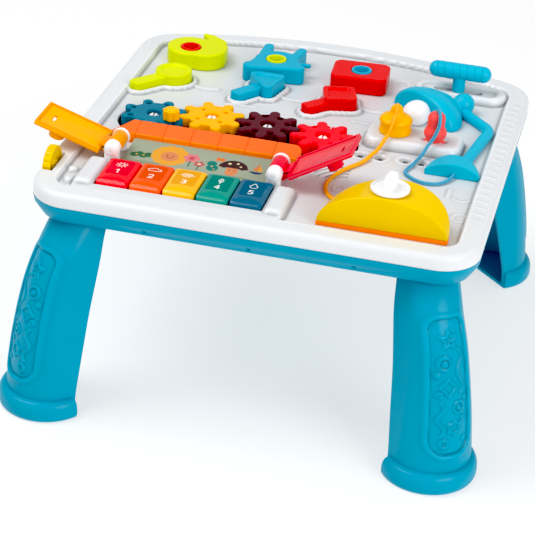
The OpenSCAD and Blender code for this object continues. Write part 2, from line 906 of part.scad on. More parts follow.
// Wedge that carries the picture, rising to the roof panel
module picture_panel() {
    color([0.65, 0.69, 0.61])
        translate([hinge_l + 8, 0, 0])
            rotate([90, 0, 90])
                linear_extrude(hinge_r - hinge_l - 16)
                    polygon([[-122, floor_z], [-122, floor_z + 1.6], [roof_front - 0.3, floor_z + 5.8],
                             [roof_front - 0.3, floor_z]]);
}

module roof_panel() {
    color([0.97, 0.47, 0.25])
        difference() {
            translate([0, 0, floor_z])
                linear_extrude(16.5)
                    polygon(concat([[roof_left, roof_front], [roof_right, roof_front]],
                                   arc([roof_right - 10, roof_back - 10], 10, 0, 90, 6),
                                   [[roof_left + 19, roof_back]]));
            // top falls gently to the front
            translate([roof_left - 5, roof_front, floor_z + roof_front_h])
                rotate([roof_slope, 0, 0])
                    translate([0, -5, 0])
                        cube([210, 40, 20]);
            for (i = [0:roof_grooves - 1])
                translate([-151.6 + roof_groove_pitch * i, roof_front - 1, floor_z + roof_front_h - 1])
                    rotate([roof_slope, 0, 0])
                        cube([1.2, 40, 10]);
            for (i = [0:roof_grooves - 1])
                translate([-151.6 + roof_groove_pitch * i, roof_front - 1, floor_z + 4])
                    cube([1.2, 1.8, 12]);
        }
}

// ---------- gears ----------

module gear_outline() {
    circle(gear_root_r);
    for (i = [0:gear_teeth - 1])
        rotate(360 / gear_teeth * i) {
            translate([gear_tip_r - gear_tooth_r, 0])
                circle(gear_tooth_r);
            translate([gear_root_r / 2, -gear_tooth_r])
                square([gear_tip_r - gear_tooth_r - gear_root_r / 2, 2 * gear_tooth_r]);
        }
}

// A gear with holes or blind pockets around its hub
module gear(axle, turn, holes, hole_r, at_r, shift) {
    translate([axle[0], axle[1], gear_z])
        rotate(turn)
            difference() {
                linear_extrude(gear_h)
                    gear_outline();
                translate([0, 0, -1])
                    cylinder(r = gear_bore_r + fit, h = gear_h + 2);
                translate([0, 0, gear_h - hub_sink])
                    cylinder(r = hub_sink_r, h = hub_sink + 1);
                for (i = [0:holes - 1])
                    rotate(shift + 360 / holes * i)
                        translate([at_r, 0, 3])
                            cylinder(r = hole_r, h = gear_h);
            }
}

module gear_teal() color([0.02, 0.49, 0.59]) gear(axle_teal, turn_teal, 8, 2.9, 25, 0);
module gear_yellow() color([1.0, 0.71, 0.08]) gear(axle_yellow, turn_yellow, 4, 2.4, 17, 22.5);
module gear_maroon() color([0.38, 0.13, 0.22]) gear(axle_maroon, turn_maroon, 8, 3.4, 21, 22.5);
module gear_red() color([0.95, 0.0, 0.2]) gear(axle_red, turn_red, 8, 2.6, 22, 22.5);

// Lobed crank knob on the left gear
module gear_crank_knob() {
    color([1.0, 0.75, 0.05])
        translate(concat(axle_teal + around(crank_r, crank_a), gear_z + gear_h)) {
            cylinder(r = 6.2, h = 13);
            translate([0, 0, 1.4])
                linear_extrude(10.2) {
                    circle(7.6);
                    for (i = [0:7])
                        rotate(45 * i)
                            translate([6.7, 0])
                                circle(2.2);
                }
        }
}

// Dark plate under the gear wells
module gear_tray() {
    color([0.06, 0.06, 0.07])
        difference() {
            translate([0, 0, 222.4])
                linear_extrude(2.4)
                    intersection() {
                        union()
                            for (a = axles)
                                translate(a)
                                    circle(gear_tip_r + 3.4);
                        translate([-215, -48])
                            square([300, 110]);
                    }
            for (a = axles)
                translate([a[0], a[1], 221])
                    cylinder(r = gear_bore_r - 0.6, h = 6);
        }
}

// Four white axles, each with a shoulder and two split catches on top
module gear_axles() {
    color("white")
        for (a = axles)
            translate([a[0], a[1], 222.4]) {
                cylinder(r = gear_bore_r - 0.6, h = 3);
                translate([0, 0, 2.4])
                    cylinder(r = 7, h = gear_z - 225.1);
                difference() {
                    union() {
                        translate([0, 0, 2.4])
                            cylinder(r = gear_bore_r, h = catch_z + 0.4 - 224.8);
                        translate([0, 0, catch_z - 222.4])
                            cylinder(r = gear_bore_r + 1, h = 2.2);
                        translate([0, 0, catch_z + 2.2 - 222.4])
                            cylinder(r1 = gear_bore_r + 1, r2 = gear_bore_r - 1.4, h = 1.8);
                    }
                    translate([-0.9, -8, catch_z - 222.4 - 3])
                        cube([1.8, 16, 12]);
                }
            }
}

// ---------- doors ----------

// Door leaf that points along +X with its hinge pin on the Y axis and its inside up
module door_leaf() {
    start = 11.5;
    difference() {
        union() {
            translate([start, 0, -door_drop - door_t])
                cube([door_len - start, door_w, door_t]);
            // raised lip around the inside
            difference() {
                translate([start, 0, -door_drop - eps])
                    cube([door_len - start, door_w, 2]);
                translate([start + 2.6, 2.6, -door_drop - 1])
                    cube([door_len - start - 5.2, door_w - 5.2, 5]);
            }
            translate([0, barrel_front - door_front, 0])
                y_cylinder(barrel_r, barrel_len);
            translate([0, barrel_front - door_front, -door_drop - door_t])
                cube([start + 3, barrel_len, 7]);
            // knob on the outside
            translate([58, 11, -door_drop - door_t - 8])
                cylinder(r = 8, h = 8 + eps);
        }
        translate([0, barrel_front - door_front - 1, 0])
            y_cylinder(door_pin_r + fit, barrel_len + 2);
        // small slot near the free edge
        translate([66, door_w / 2 - 6, -door_drop - door_t - 1])
            cube([3, 12, door_t + 2]);
    }
}

module door_left() {
    color([1.0, 0.72, 0.0])
        translate([hinge_l, door_front, hinge_z])
            rotate([0, door_left_open, 0])
                mirror([1, 0, 0])
                    door_leaf();
}

module door_right() {
    color([0.93, 0.3, 0.35])
        translate([hinge_r, door_front, hinge_z])
            rotate([0, -door_right_open, 0])
                door_leaf();
}

module door_pins() {
    color("silver")
        for (x = [hinge_l, hinge_r])
            translate([x, barrel_front - 8.5, hinge_z])
                y_cylinder(door_pin_r, barrel_len + 12);
}

// ---------- thumbwheel ----------

module thumbwheel() {
    color([0.95, 0.78, 0.1])
        translate([wheel_c[0] - wheel_t / 2, wheel_c[1], wheel_c[2]])
            difference() {
                x_cylinder(wheel_r, wheel_t);
                translate([-1, 0, 0])
                    x_cylinder(2 + fit, wheel_t + 2);
                for (i = [0:17])
                    rotate([20 * i, 0, 0])
                        translate([-1, 0, wheel_r + 0.6])
                            x_cylinder(1.6, wheel_t + 2);
                translate([wheel_t - 2, 0, 0])
                    difference() {
                        x_cylinder(wheel_r - 3, 3);
                        translate([-1, 0, 0])
                            x_cylinder(6, 5);
                    }
            }
}

module thumbwheel_axle() {
    color("silver")
        translate([wheel_c[0] - wheel_t / 2, wheel_c[1], wheel_c[2]])
            x_cylinder(2, 16);
}

// ---------- blocks that lift off ----------

module round_block_plan() {
    translate([-1.5, 3.5])
        circle(25.5);
    translate([15, 3.5])
        circle(24.5);
    translate([0, -20])
        square([15, 30]);
    translate([29, 12])
        circle(10);
    translate([26, 24])
        circle(9);
    // leaf at the back
    hull() {
        translate([5.5, 41.5])
            circle(2.5);
        translate([14, 37])
            circle(5.5);
    }
    hull() {
        translate([14, 37])
            circle(5.5);
        translate([26, 24])
            circle(9);
    }
}

module winged_block_plan() {
    circle(24);
    polygon([[-28, -20], [-20, -31.5], [26, -21], [32, -10], [20, 14], [-20, 14]]);
    for (p = [[-24, -22.5], [27, -13.5]])
        translate(p)
            circle(8);
    for (s = [-1, 1])
        translate([s * 17, 12])
            rotate(s * (s > 0 ? -9 : 1))
                translate([-5.5, 0])
                    square([11, 24]);
    translate([-16.6, 36])
        circle(5.5);
    translate([20.8, 35.7])
        circle(5.5);
}

module square_block_plan() {
    rotate(4)
        rounded_rect([-32, -24.5], [30, 24.5], 9);
}

// Block body with a ring bore, sunk a little around the ring
module block_body(c) {
    translate([c[0], c[1], block_z])
        difference() {
            linear_extrude(block_h)
                children();
            translate([0, 0, -1])
                cylinder(r = block_hole_r + 3, h = block_h + 2);
        }
}

module block_ring(c) {
    translate([c[0], c[1], block_z])
        difference() {
            cylinder(r = block_hole_r + 3, h = block_h + 0.8);
            translate([0, 0, 3])
                cylinder(r = block_hole_r, h = block_h);
        }
}

module round_block() color([0.73, 0.8, 0.08]) block_body(round_c) round_block_plan();
module winged_block() {
    color([0.18, 0.71, 0.82]) {
        block_body(winged_c)
            winged_block_plan();
        // stub of the propeller
        translate([winged_c[0] + 27, winged_c[1] - 1, block_z + block_h - 6])
            cube([12, 5, 4.5]);
    }
}
module square_block() color([0.92, 0.06, 0.04]) block_body(square_c) square_block_plan();
module round_block_ring() color([0.9, 0.12, 0.05]) block_ring(round_c);
module winged_block_ring() color([0.73, 0.8, 0.08]) block_ring(winged_c);
module square_block_ring() color([0.1, 0.66, 0.78]) block_ring(square_c);

module toy_key_head(i) {
    if (i == 0)
        circle(19.8);
    else if (i == 1) {
        polygon([[-19, 14], [-17, 5], [1, -19], [10, -18.4], [18, 13], [11, 19], [-13, 19]]);
        for (p = [[-13.5, 11.5], [11.5, 12.5], [5.4, -15]])
            translate(p)
                circle(i == 1 ? 6.5 : 5);
    } else
        rotate(16)
            rounded_rect([-17.5, -18.5], [17.5, 18.5], 6);
}

module toy_key_handle(i) {
    rotate(toy_key_turn[i])
        rounded_rect([8, -8], [toy_key_reach[i], 8], 4);
}

// Toy key i: a tall head with a sunk top and a lower handle
module toy_key(i) {
    h = toy_key_h + toy_key_more[i];
    translate([toy_keys[i][0], toy_keys[i][1], pocket_floor + 0.1]) {
        difference() {
            linear_extrude(h)
                toy_key_head(i);
            translate([0, 0, h - 1.6])
                linear_extrude(3)
                    scale(0.68)
                        toy_key_head(i);
        }
        linear_extrude(toy_key_h - 3)
            difference() {
                toy_key_handle(i);
                toy_key_head(i);
            }
    }
}

module round_toy_key() color([0.73, 0.8, 0.08]) toy_key(0);
module triangle_toy_key() color([0.2, 0.72, 0.83]) toy_key(1);
module square_toy_key() color([0.92, 0.04, 0.04]) toy_key(2);

// ---------- half moon ----------

// Plan of the half moon: a half ellipse that leans a little to the right
module moon_plan() {
    lean = tan(moon_lean);
    polygon([for (k = [0:moon_steps])
             let (a = 180 * k / moon_steps, y = moon_d * sin(a))
             [moon_x + moon_w / 2 * cos(a) + lean * y, moon_front + y]]);
}

// Half-elliptic vault over the plan
module moon_form() {
    intersection() {
        translate([0, 0, floor_z + moon_rim_h])
            linear_extrude(moon_h)
                moon_plan();
        translate([moon_x, moon_front, floor_z + moon_rim_h])
            rotate([90, 0, -moon_lean])
                translate([0, 0, -80])
                    linear_extrude(100)
                        polygon([for (k = [0:moon_steps])
                                 let (a = 180 * k / moon_steps)
                                 [moon_w / 2 * cos(moon_lean) * cos(a), (moon_h - moon_rim_h) * sin(a)]]);
    }
}

module half_moon_base() {
    color([1.0, 0.52, 0.0])
        translate([0, 0, floor_z])
            linear_extrude(moon_rim_h)
                moon_plan();
}

module half_moon_body() {
    mid = [moon_x + 5, moon_front + moon_d / 2, floor_z + moon_rim_h];
    color([0.9, 0.75, 0.05])
        difference() {
            union() {
                difference() {
                    moon_form();
                    translate([0, 0, -eps])
                        translate(mid)
                            scale(moon_shell)
                                translate(-mid)
                                    moon_form();
                }
                // boss of the knob
                translate([dial_c[0], dial_c[1], dial_z - 16])
                    cylinder(r = dial_shaft_r + 3, h = 14.5);
            }
            translate([dial_c[0], dial_c[1], dial_z - 18])
                cylinder(r = dial_shaft_r + fit, h = 22);
        }
}

// White knob: a dish on a shaft with a flat fin to grip
module turning_knob() {
    color("white")
        translate([dial_c[0], dial_c[1], dial_z]) {
            translate([0, 0, -14])
                cylinder(r = dial_shaft_r, h = 14);
            difference() {
                cylinder(r = dial_r, h = 3.2);
                translate([0, 0, 1.8])
                    cylinder(r = dial_r - 2, h = 2);
            }
            rotate(80)
                translate([-11, -4, 0])
                    cube([22, 8, 12]);
            rotate(80)
                translate([-8, -4, 10])
                    cube([16, 8, 6]);
        }
}

// ---------- lamp ----------

// Puts its children at the middle of the shade's face, with +Y pointing to the neck
module at_shade() {
    translate([shade_c[0], shade_c[1], floor_z])
        rotate(shade_turn)
            children();
}

// Dome of the shade, made thinner all round by inset
module shade_dome(inset) {
    at_shade()
        hull()
            for (l = shade_levels)
                translate([0, min(max(l[0], inset), shade_len - inset) + 0.5, 0])
                    rotate([90, 0, 0])
                        linear_extrude(0.5)
                            scale([l[1] - inset, l[2] - inset])
                                circle(1, $fn = 40);
}

module below_floor() {
    translate([-20, -20, floor_z - 80])
        cube([300, 300, 80]);
}

module lamp_shade() {
    color([0.08, 0.65, 0.77])
        difference() {
            union() {
                shade_dome(0);
                translate(neck_c)
                    sphere(neck_r, $fn = 32);
            }
            shade_dome(shade_wall);
            below_floor();
        }
}

// Bulb that bulges out of the shade's face
module lamp_bulb() {
    color("white")
        difference() {
            translate(bulb_c)
                rotate(shade_turn)
                    scale([1, 1.15, 1])
                        sphere(bulb_r);
            at_shade()
                translate([-60, 0, -30])
                    cube([120, 60, 80]);
            below_floor();
        }
}

// Bent arm, flat where it lies on the play floor
module lamp_arm() {
    color([0.08, 0.65, 0.77])
        tube(smooth_route(arm_route, 2), arm_r, arm_sides, floor_z);
}

module lamp_base_form() {
    intersection() {
        translate([0, 0, floor_z])
            linear_extrude(lamp_base_h)
                intersection() {
                    translate([lamp_base_c[0], lamp_base_c[1] + lamp_base_d - lamp_base_plan_r])
                        circle(lamp_base_plan_r, $fn = 72);
                    translate([lamp_base_c[0] - 40, lamp_base_c[1]])
                        square([80, 60]);
                }
        translate([lamp_base_c[0], lamp_base_c[1] - 5, floor_z + lamp_base_h - lamp_vault_r])
            rotate([-90, 0, 0])
                cylinder(r = lamp_vault_r, h = 60, $fn = 72);
    }
}

module lamp_base() {
    color([0.08, 0.65, 0.77])
        lamp_base_form();
}

// ---------- plugs and cords ----------

module prongs(gap) {
    for (s = [-1, 1])
        translate([s * gap / 2, 0, -6])
            cylinder(r = prong_r, h = 6.1);
}

// Short sleeve that grips the end of a cord
module gland(c, n, len) {
    translate(c)
        rotate([0, acos(n[2] / norm(n)), atan2(n[1], n[0])])
            cylinder(r = gland_r, h = len * norm(n));
}

module yellow_plug() {
    color([1.0, 0.69, 0.0])
        translate([yellow_plug_c[0], yellow_plug_c[1], deck_z + 0.1]) {
            rotate_extrude()
                polygon(concat([[0, 0], [16.6, 0], [17, 1.4], [16.2, 9], [16.6, 11]],
                               arc([13, 13], 4.2, -10, 62, 5),
                               [[8.2, 20.4], [7, 22.6]],
                               arc([0.4, 24], 6.3, -8, 86, 7),
                               [[0, 30.4]]));
            prongs(yellow_prong_gap);
        }
    color([1.0, 0.69, 0.0])
        gland(yellow_gland_c, yellow_gland_n, yellow_gland_end);
}

module coral_plug() {
    color([1.0, 0.36, 0.36])
        translate([coral_plug_c[0], coral_plug_c[1], deck_z + 0.1]) {
            rotate_extrude()
                polygon(concat([[0, 0], [8, 0]],
                               arc([4.2, 8.6], 7.6, -60, 42, 6),
                               [[9, 15.6], [8.9, 18.6]],
                               arc([1.9, 24.4], 7.2, -15, 90, 7),
                               [[0, 31.6]]));
            prongs(coral_prong_gap);
        }
    color([1.0, 0.36, 0.36])
        gland(blue_gland_c, blue_gland_n, blue_gland_end);
}

// A point on the smooth curve through the route, at step u of span i
function route_at(p, i, u) =
    let (n = len(p) - 1,
         a = p[max(i - 1, 0)], b = p[i], c = p[min(i + 1, n)], d = p[min(i + 2, n)])
    0.5 * ((2 * b) + (c - a) * u + (2 * a - 5 * b + 4 * c - d) * u * u + (3 * b - a - 3 * c + d) * u * u * u);

function smooth_route(p, steps) =
    concat([for (i = [0:len(p) - 2], k = [0:steps - 1]) route_at(p, i, k / steps)], [p[len(p) - 1]]);

function unit(v) = v / norm(v);

// Ring of points around point i of a route, none of them below the height low
function ring(p, i, r, n, low) =
    let (t = unit(p[min(i + 1, len(p) - 1)] - p[max(i - 1, 0)]),
         side = unit(cross(t, abs(t[2]) > 0.9 ? [1, 0, 0] : [0, 0, 1])),
         up = cross(side, t))
    [for (k = [0:n - 1])
     let (q = p[i] + r * (cos(360 * k / n) * side + sin(360 * k / n) * up))
     [q[0], q[1], max(q[2], low)]];

module tube(p, r, n, low = 0) {
    m = len(p);
    pts = [for (i = [0:m - 1]) each ring(p, i, r, n, low)];
    sides = [for (i = [0:m - 2], k = [0:n - 1])
             [i * n + k, i * n + (k + 1) % n, (i + 1) * n + (k + 1) % n, (i + 1) * n + k]];
    first = [for (k = [n - 1:-1:0]) k];
    last = [for (k = [0:n - 1]) (m - 1) * n + k];
    polyhedron(pts, concat([first], sides, [last]));
}

module yellow_cord() {
    color([1.0, 0.66, 0.1])
        tube(smooth_route(yellow_route, cord_steps), yellow_cord_d / 2, cord_sides);
}

module blue_cord() {
    color([0.15, 0.6, 0.78])
        tube(smooth_route(blue_route, cord_steps), blue_cord_d / 2, cord_sides);
}

// ---------- slide handle ----------

// Half outline of the ribbed grip: radius and place along it
function grip_outline() = concat(
    arc([0, grip_r], grip_r, -90, 0, 8),
    [for (i = [0:6])
     let (y = grip_r + 0.8 + i * (grip_len - 2 * grip_r - 1.6) / 6)
     each [[grip_r, y - 0.5], [grip_r - 0.7, y - 0.5], [grip_r - 0.7, y + 0.5], [grip_r, y + 0.5]]],
    arc([0, grip_len - grip_r], grip_r, 0, 90, 8));

// T handle: ribbed grip, stem and a wide foot under the floor that keeps it in its slot
module slide_handle() {
    color([0.08, 0.65, 0.77])
        translate([slide_c[0], slide_c[1], 0]) {
            translate([-grip_len / 2, 0, grip_z])
                rotate([0, 90, 0])
                    rotate_extrude()
                        polygon(grip_outline());
            translate([0, 0, floor_z + 6.6])
                cylinder(r = 7, h = grip_z - floor_z - 10);
            translate([0, 0, shell_under_z - 3])
                cylinder(r = 4, h = 14);
            translate([0, 0, shell_under_z - 3])
                cylinder(r = 9, h = 2.6);
        }
}

top_shell();
play_floor();
door_hinge_posts();
bottom_shell();
leg_front_left();
leg_front_right();
leg_back_left();
leg_back_right();
leg_screws();
shell_screws();
battery_door();
battery_door_screw();
batteries();
battery_contacts();
power_switch();
speaker();
circuit_board();
key_contact_pads();
piano_key_1();
piano_key_2();
piano_key_3();
piano_key_4();
piano_key_5();
key_hinge_rod();
picture_panel();
roof_panel();
gear_tray();
gear_axles();
gear_teal();
gear_yellow();
gear_maroon();
gear_red();
gear_crank_knob();
door_left();
door_right();
door_pins();
thumbwheel();
thumbwheel_axle();
round_block();
round_block_ring();
winged_block();
winged_block_ring();
square_block();
square_block_ring();
round_toy_key();
triangle_toy_key();
square_toy_key();
half_moon_body();
half_moon_base();
turning_knob();
lamp_shade();
lamp_bulb();
lamp_arm();
lamp_base();
yellow_plug();
coral_plug();
yellow_cord();
blue_cord();
slide_handle();
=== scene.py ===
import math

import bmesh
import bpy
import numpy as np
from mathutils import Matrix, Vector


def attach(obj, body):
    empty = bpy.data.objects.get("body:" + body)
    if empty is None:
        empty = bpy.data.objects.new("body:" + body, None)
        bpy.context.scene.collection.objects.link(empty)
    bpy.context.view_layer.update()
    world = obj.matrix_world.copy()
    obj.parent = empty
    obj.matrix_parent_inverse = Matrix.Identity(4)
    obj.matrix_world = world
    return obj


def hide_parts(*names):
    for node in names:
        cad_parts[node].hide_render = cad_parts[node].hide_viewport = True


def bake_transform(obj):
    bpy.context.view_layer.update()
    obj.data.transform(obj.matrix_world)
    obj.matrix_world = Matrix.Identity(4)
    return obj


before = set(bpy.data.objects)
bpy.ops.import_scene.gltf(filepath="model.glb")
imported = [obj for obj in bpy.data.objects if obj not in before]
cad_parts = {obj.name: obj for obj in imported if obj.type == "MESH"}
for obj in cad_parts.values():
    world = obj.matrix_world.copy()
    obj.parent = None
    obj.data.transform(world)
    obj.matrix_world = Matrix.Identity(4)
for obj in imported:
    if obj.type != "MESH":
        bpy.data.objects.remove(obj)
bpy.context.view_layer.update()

# %% [markdown]
# A play table for toddlers: a white moulded shell on a turquoise tray, four wide half-round
# legs, and toys that press, turn, slide, fold and lift out. The exact parts are loaded as a
# fixed frame. This lesson dresses them: sharp parts get the soft edges that a mould gives,
# the shell and the legs are modelled again in finer form, and every surface gets a
# procedural plastic, metal or print.

MM = 0.001

# %% [markdown]
# The camera comes first, because it decides which side is judged. It is a long lens from the
# front and a little from the right, looking down by some 29 degrees, and slightly rolled.
# A matrix is clearer here than angles: its columns are right, up and back, and then the place.

# %% Camera
CAMERA_AT = Vector((359.10, -1786.92, 1084.33)) * MM
AZIMUTH, ELEVATION, ROLL = (math.radians(a) for a in (12.0, 28.98, 3.72))
FOCAL_PIXELS, FRAME_PIXELS, SENSOR = 1948.38, 535, 36.0
NEAR, FAR = 0.05, 30

back = Vector((math.sin(AZIMUTH) * math.cos(ELEVATION), -math.cos(AZIMUTH) * math.cos(ELEVATION),
               math.sin(ELEVATION)))
level = Vector((math.cos(AZIMUTH), math.sin(AZIMUTH), 0))
upward = back.cross(level)
right = level * math.cos(ROLL) + upward * math.sin(ROLL)
up = upward * math.cos(ROLL) - level * math.sin(ROLL)

bpy.ops.object.camera_add()
camera = bpy.context.object
camera.name = "studio_camera"
camera.matrix_world = Matrix((right, up, back)).transposed().to_4x4()
camera.location = CAMERA_AT
camera.data.sensor_width = SENSOR
camera.data.lens = FOCAL_PIXELS / FRAME_PIXELS * SENSOR
camera.data.clip_start, camera.data.clip_end = NEAR, FAR
bpy.context.scene.camera = camera
print("lens", round(camera.data.lens, 1), "mm")

# %% [markdown]
# Two soft cords tie the plugs to the half moon and to the lamp. Each is a fixed length of
# limp cord, so its route is laid point by point: out of the plug's top, over and down its
# front, and along the play floor in one loose bend. A smooth curve through the points gives
# the centre line, and a ring of vertices swept along it gives a tube. Every vertex remembers
# how far along and how far round it sits, so that a braid can follow the cord.

# %% Cord helpers
SPAN_STEPS = 6


def smooth_line(points):
    """Points of a Catmull-Rom curve through a list of points."""
    p = [Vector(q) for q in points]
    line = []
    for i in range(len(p) - 1):
        a, b, c, d = p[max(i - 1, 0)], p[i], p[i + 1], p[min(i + 2, len(p) - 1)]
        bend, twist = 2 * a - 5 * b + 4 * c - d, 3 * b - a - 3 * c + d
        for u in (k / SPAN_STEPS for k in range(SPAN_STEPS)):
            line.append(0.5 * (2 * b + (c - a) * u + bend * u ** 2 + twist * u ** 3))
    return line + [p[-1]]


def linked(name, mesh):
    """A new object for a mesh, in the scene."""
    obj = bpy.data.objects.new(name, mesh)
    bpy.context.collection.objects.link(obj)
    return obj


def rings_solid(name, rings, unit=MM):
    """A closed solid through rings of points with equal counts, capped at both ends."""
    bm = bmesh.new()
    loops = [[bm.verts.new(Vector(p) * unit) for p in ring] for ring in rings]
    for lower, upper in zip(loops, loops[1:]):
        for k in range(len(lower)):
            j = (k + 1) % len(lower)
            bm.faces.new((lower[k], lower[j], upper[j], upper[k]))
    bm.faces.new(loops[0][::-1])
    bm.faces.new(loops[-1])
    bmesh.ops.remove_doubles(bm, verts=bm.verts, dist=0.001 * MM)
    bmesh.ops.recalc_face_normals(bm, faces=bm.faces)
    mesh = bpy.data.meshes.new(name)
    bm.to_mesh(mesh)
    return linked(name, mesh)


def tube(name, line, radius, sides=16):
    """A closed tube along a line, with the attributes along and around in each vertex."""
    along, around, rings, run = [], [], [], 0.0
    side = Vector((1, 0, 0))
    for i, p in enumerate(line):
        t = (line[min(i + 1, len(line) - 1)] - line[max(i - 1, 0)]).normalized()
        side = (side - t * side.dot(t)).normalized()
        over = t.cross(side)
        run += (p - line[i - 1]).length if i else 0
        rings.append([p + radius * (math.cos(a) * side + math.sin(a) * over)
                      for a in (math.tau * k / sides for k in range(sides))])
        along += [run] * sides
        around += [k / sides for k in range(sides)]
    obj = rings_solid(name, rings, unit=1)
    for label, values in (("along", along), ("around", around)):
        obj.data.attributes.new(label, "FLOAT", "POINT").data.foreach_set("value", values)
    for face in obj.data.polygons:
        face.use_smooth = len(face.vertices) == 4
    return obj, run


def laid_cord(name, route, radius):
    """Makes one cord along its route, hides the exact part, and prints its length."""
    line = smooth_line([Vector(p) * MM for p in route])
    obj, length = tube(name + "_braid", line, radius)
    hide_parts(name)
    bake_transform(obj)
    print(name, "is", round(length * 1000), "mm long")
    return obj

# %% The two cords
def from_gland(foot, direction, reach, gaps=(0.03, 0.9, 1.8)):
    """First points of a route, straight out of the short sleeve on a plug."""
    return [[f + (reach + g) * d for f, d in zip(foot, direction)] for g in gaps]


YELLOW_ROUTE = from_gland((98, 29, 264.6), (0.1, -0.55, 0.829), 7.8) + [
    (99.4, 20.6, 273.4), (99.5, 17.8, 270.6), (99.1, 15.2, 264.8), (97.9, 11.2, 258.6),
    (96.2, 8.4, 252), (94.4, 7, 246), (92, 2.6, 242), (89.4, -4.4, 237.4), (86.6, -13.4, 234.8),
    (83.2, -23.3, 234.1), (79, -34.4, 232.2), (73, -45.6, 232.2), (66, -56.6, 232.2),
    (60, -69, 232.2), (55.6, -82.5, 232.2), (53.6, -96, 232.2), (55.2, -109, 232.2),
    (60.4, -121.4, 232.8), (67.4, -132, 234.6), (75, -140.4, 236.4), (82.6, -147.2, 237.4),
    (86.6, -151, 237.6)]
BLUE_ROUTE = from_gland((140.5, 22, 265.2), (0.1, -0.25, 0.963), 8.4) + [
    (142.9, 16.6, 276.2), (144.8, 13, 273), (145.6, 10.6, 267), (144.8, 9, 260),
    (142.6, 7.4, 253), (139.8, 5.6, 247), (136.8, 2, 242.6), (134.2, -3.4, 237.8),
    (132, -9.6, 234.8), (129.6, -18.6, 234), (126.8, -28.4, 233), (123.4, -37.4, 232),
    (122.8, -45, 232), (127.4, -52, 232), (136.4, -59, 232), (147.6, -62, 232),
    (158.6, -58.6, 232), (166.6, -49.6, 232.8), (170, -40, 234), (170.6, -33, 235)]
yellow_cord = laid_cord("yellow_cord", YELLOW_ROUTE, radius=2.1 * MM)
blue_cord = laid_cord("blue_cord", BLUE_ROUTE, radius=1.85 * MM)

# %% [markdown]
# Almost everything here is moulded plastic, so one node group carries what all mouldings
# share: a colour that drifts a little with the flow of the melt, a fine grain that breaks up
# the highlight, and rubbed spots that are less glossy. Where a mesh stores its relief, the
# group paints shade into the colour of the hollows and a highlight onto the edges. The group
# gives back colours, values and a normal, and each material keeps its own Principled shader.

# %% Node helpers
def tint(*display):
    """A colour picked in 0 to 255 display values, as the linear colour that shaders use."""
    return (*(((c / 255 + 0.055) / 1.055) ** 2.4 if c > 10 else c / 255 / 12.92 for c in display), 1.0)


def new_group(name, inputs, outputs):
    """An empty node group with named inputs (name, type, value) and outputs (name, type)."""
    group = bpy.data.node_groups.new(name, "ShaderNodeTree")
    for label, kind, value in inputs:
        socket = group.interface.new_socket(label, in_out="INPUT", socket_type="NodeSocket" + kind)
        socket.default_value = value
    for label, kind in outputs:
        group.interface.new_socket(label, in_out="OUTPUT", socket_type="NodeSocket" + kind)
    return group, group.nodes.new("NodeGroupInput"), group.nodes.new("NodeGroupOutput")


def feed(target, **sockets):
    """Fills or links the inputs of a node by name, or by number as in i0."""
    for key, value in sockets.items():
        number = key[1:] if key[0] == "i" else ""
        socket = target.inputs[int(number) if number.isdigit() else key.replace("_", " ")]
        if isinstance(value, bpy.types.NodeSocket):
            target.id_data.links.new(value, socket)
        else:
            socket.default_value = value
    return target


def node(tree, kind, settings=None, **sockets):
    """Adds a node, sets its properties, and fills or links its inputs."""
    n = tree.nodes.new("ShaderNode" + kind)
    for key, value in (settings or {}).items():
        setattr(n, key, value)
    return feed(n, **sockets)


def maths(tree, operation, a, b=0.0):
    return node(tree, "Math", {"operation": operation}, i0=a, i1=b).outputs[0]


def mapped(tree, value, **limits):
    return node(tree, "MapRange", Value=value, **limits).outputs[0]


def noise(tree, place, **settings):
    return node(tree, "TexNoise", Vector=place, **settings).outputs["Fac"]


def bumped(tree, height, strength, distance):
    return node(tree, "Bump", Strength=strength, Distance=distance, Height=height).outputs[0]


def own_place(tree, axis=None):
    """The place in the object's own coordinates, or one axis of it."""
    place = node(tree, "TexCoord").outputs["Object"]
    return node(tree, "SeparateXYZ", Vector=place).outputs[axis] if axis else place


def blend_colour(tree, factor, a, b, how="MIX"):
    return node(tree, "Mix", {"data_type": "RGBA", "blend_type": how}, i0=factor, i6=a, i7=b).outputs[2]


def shaded(tree, colour, value):
    """A colour made darker or brighter by a value."""
    grey = node(tree, "CombineXYZ", X=value, Y=value, Z=value).outputs[0]
    return blend_colour(tree, 1.0, colour, grey, "MULTIPLY")

# %% The group that every moulding shares
group, given, result = new_group("moulded_surface", [
    ("Colour", "Color", (0.8, 0.8, 0.8, 1)), ("Drift", "Float", 0.05), ("Gloss Loss", "Float", 0.3),
    ("Grain Scale", "Float", 1400.0), ("Grain Depth", "Float", 0.1)],
    [("Colour", "Color"), ("Roughness", "Float"), ("Normal", "Vector")])
place = own_place(group)
slow = noise(group, place, Scale=14.0, Detail=2.0)
rubbed = noise(group, place, Scale=75.0, Detail=4.0, Roughness=0.7)
grain = noise(group, place, Scale=given.outputs["Grain Scale"], Detail=1.0)
swing = maths(group, "MULTIPLY", maths(group, "SUBTRACT", slow, 0.5), given.outputs["Drift"])
# Painted shade and highlight: the relief stored on the mesh darkens hollows and lightens edges.
relief = node(group, "Attribute", {"attribute_name": "relief"}).outputs["Fac"]
bright = maths(group, "ADD", maths(group, "ADD", 1.0, relief), maths(group, "MULTIPLY", swing, 2.0))
patch = mapped(group, rubbed, From_Min=0.42, From_Max=0.7, To_Min=0.0, To_Max=0.1)
feed(result, Colour=shaded(group, given.outputs["Colour"], bright),
     Roughness=maths(group, "ADD", given.outputs["Gloss Loss"], patch),
     Normal=bumped(group, grain, given.outputs["Grain Depth"], 0.00012))


def shader(name, **plain):
    """A material with one Principled shader, and its plain values set on its own sockets."""
    material = bpy.data.materials.new(name)
    material.use_nodes = True
    principled = material.node_tree.nodes["Principled BSDF"]
    feed(principled, **plain)
    return material, material.node_tree, principled


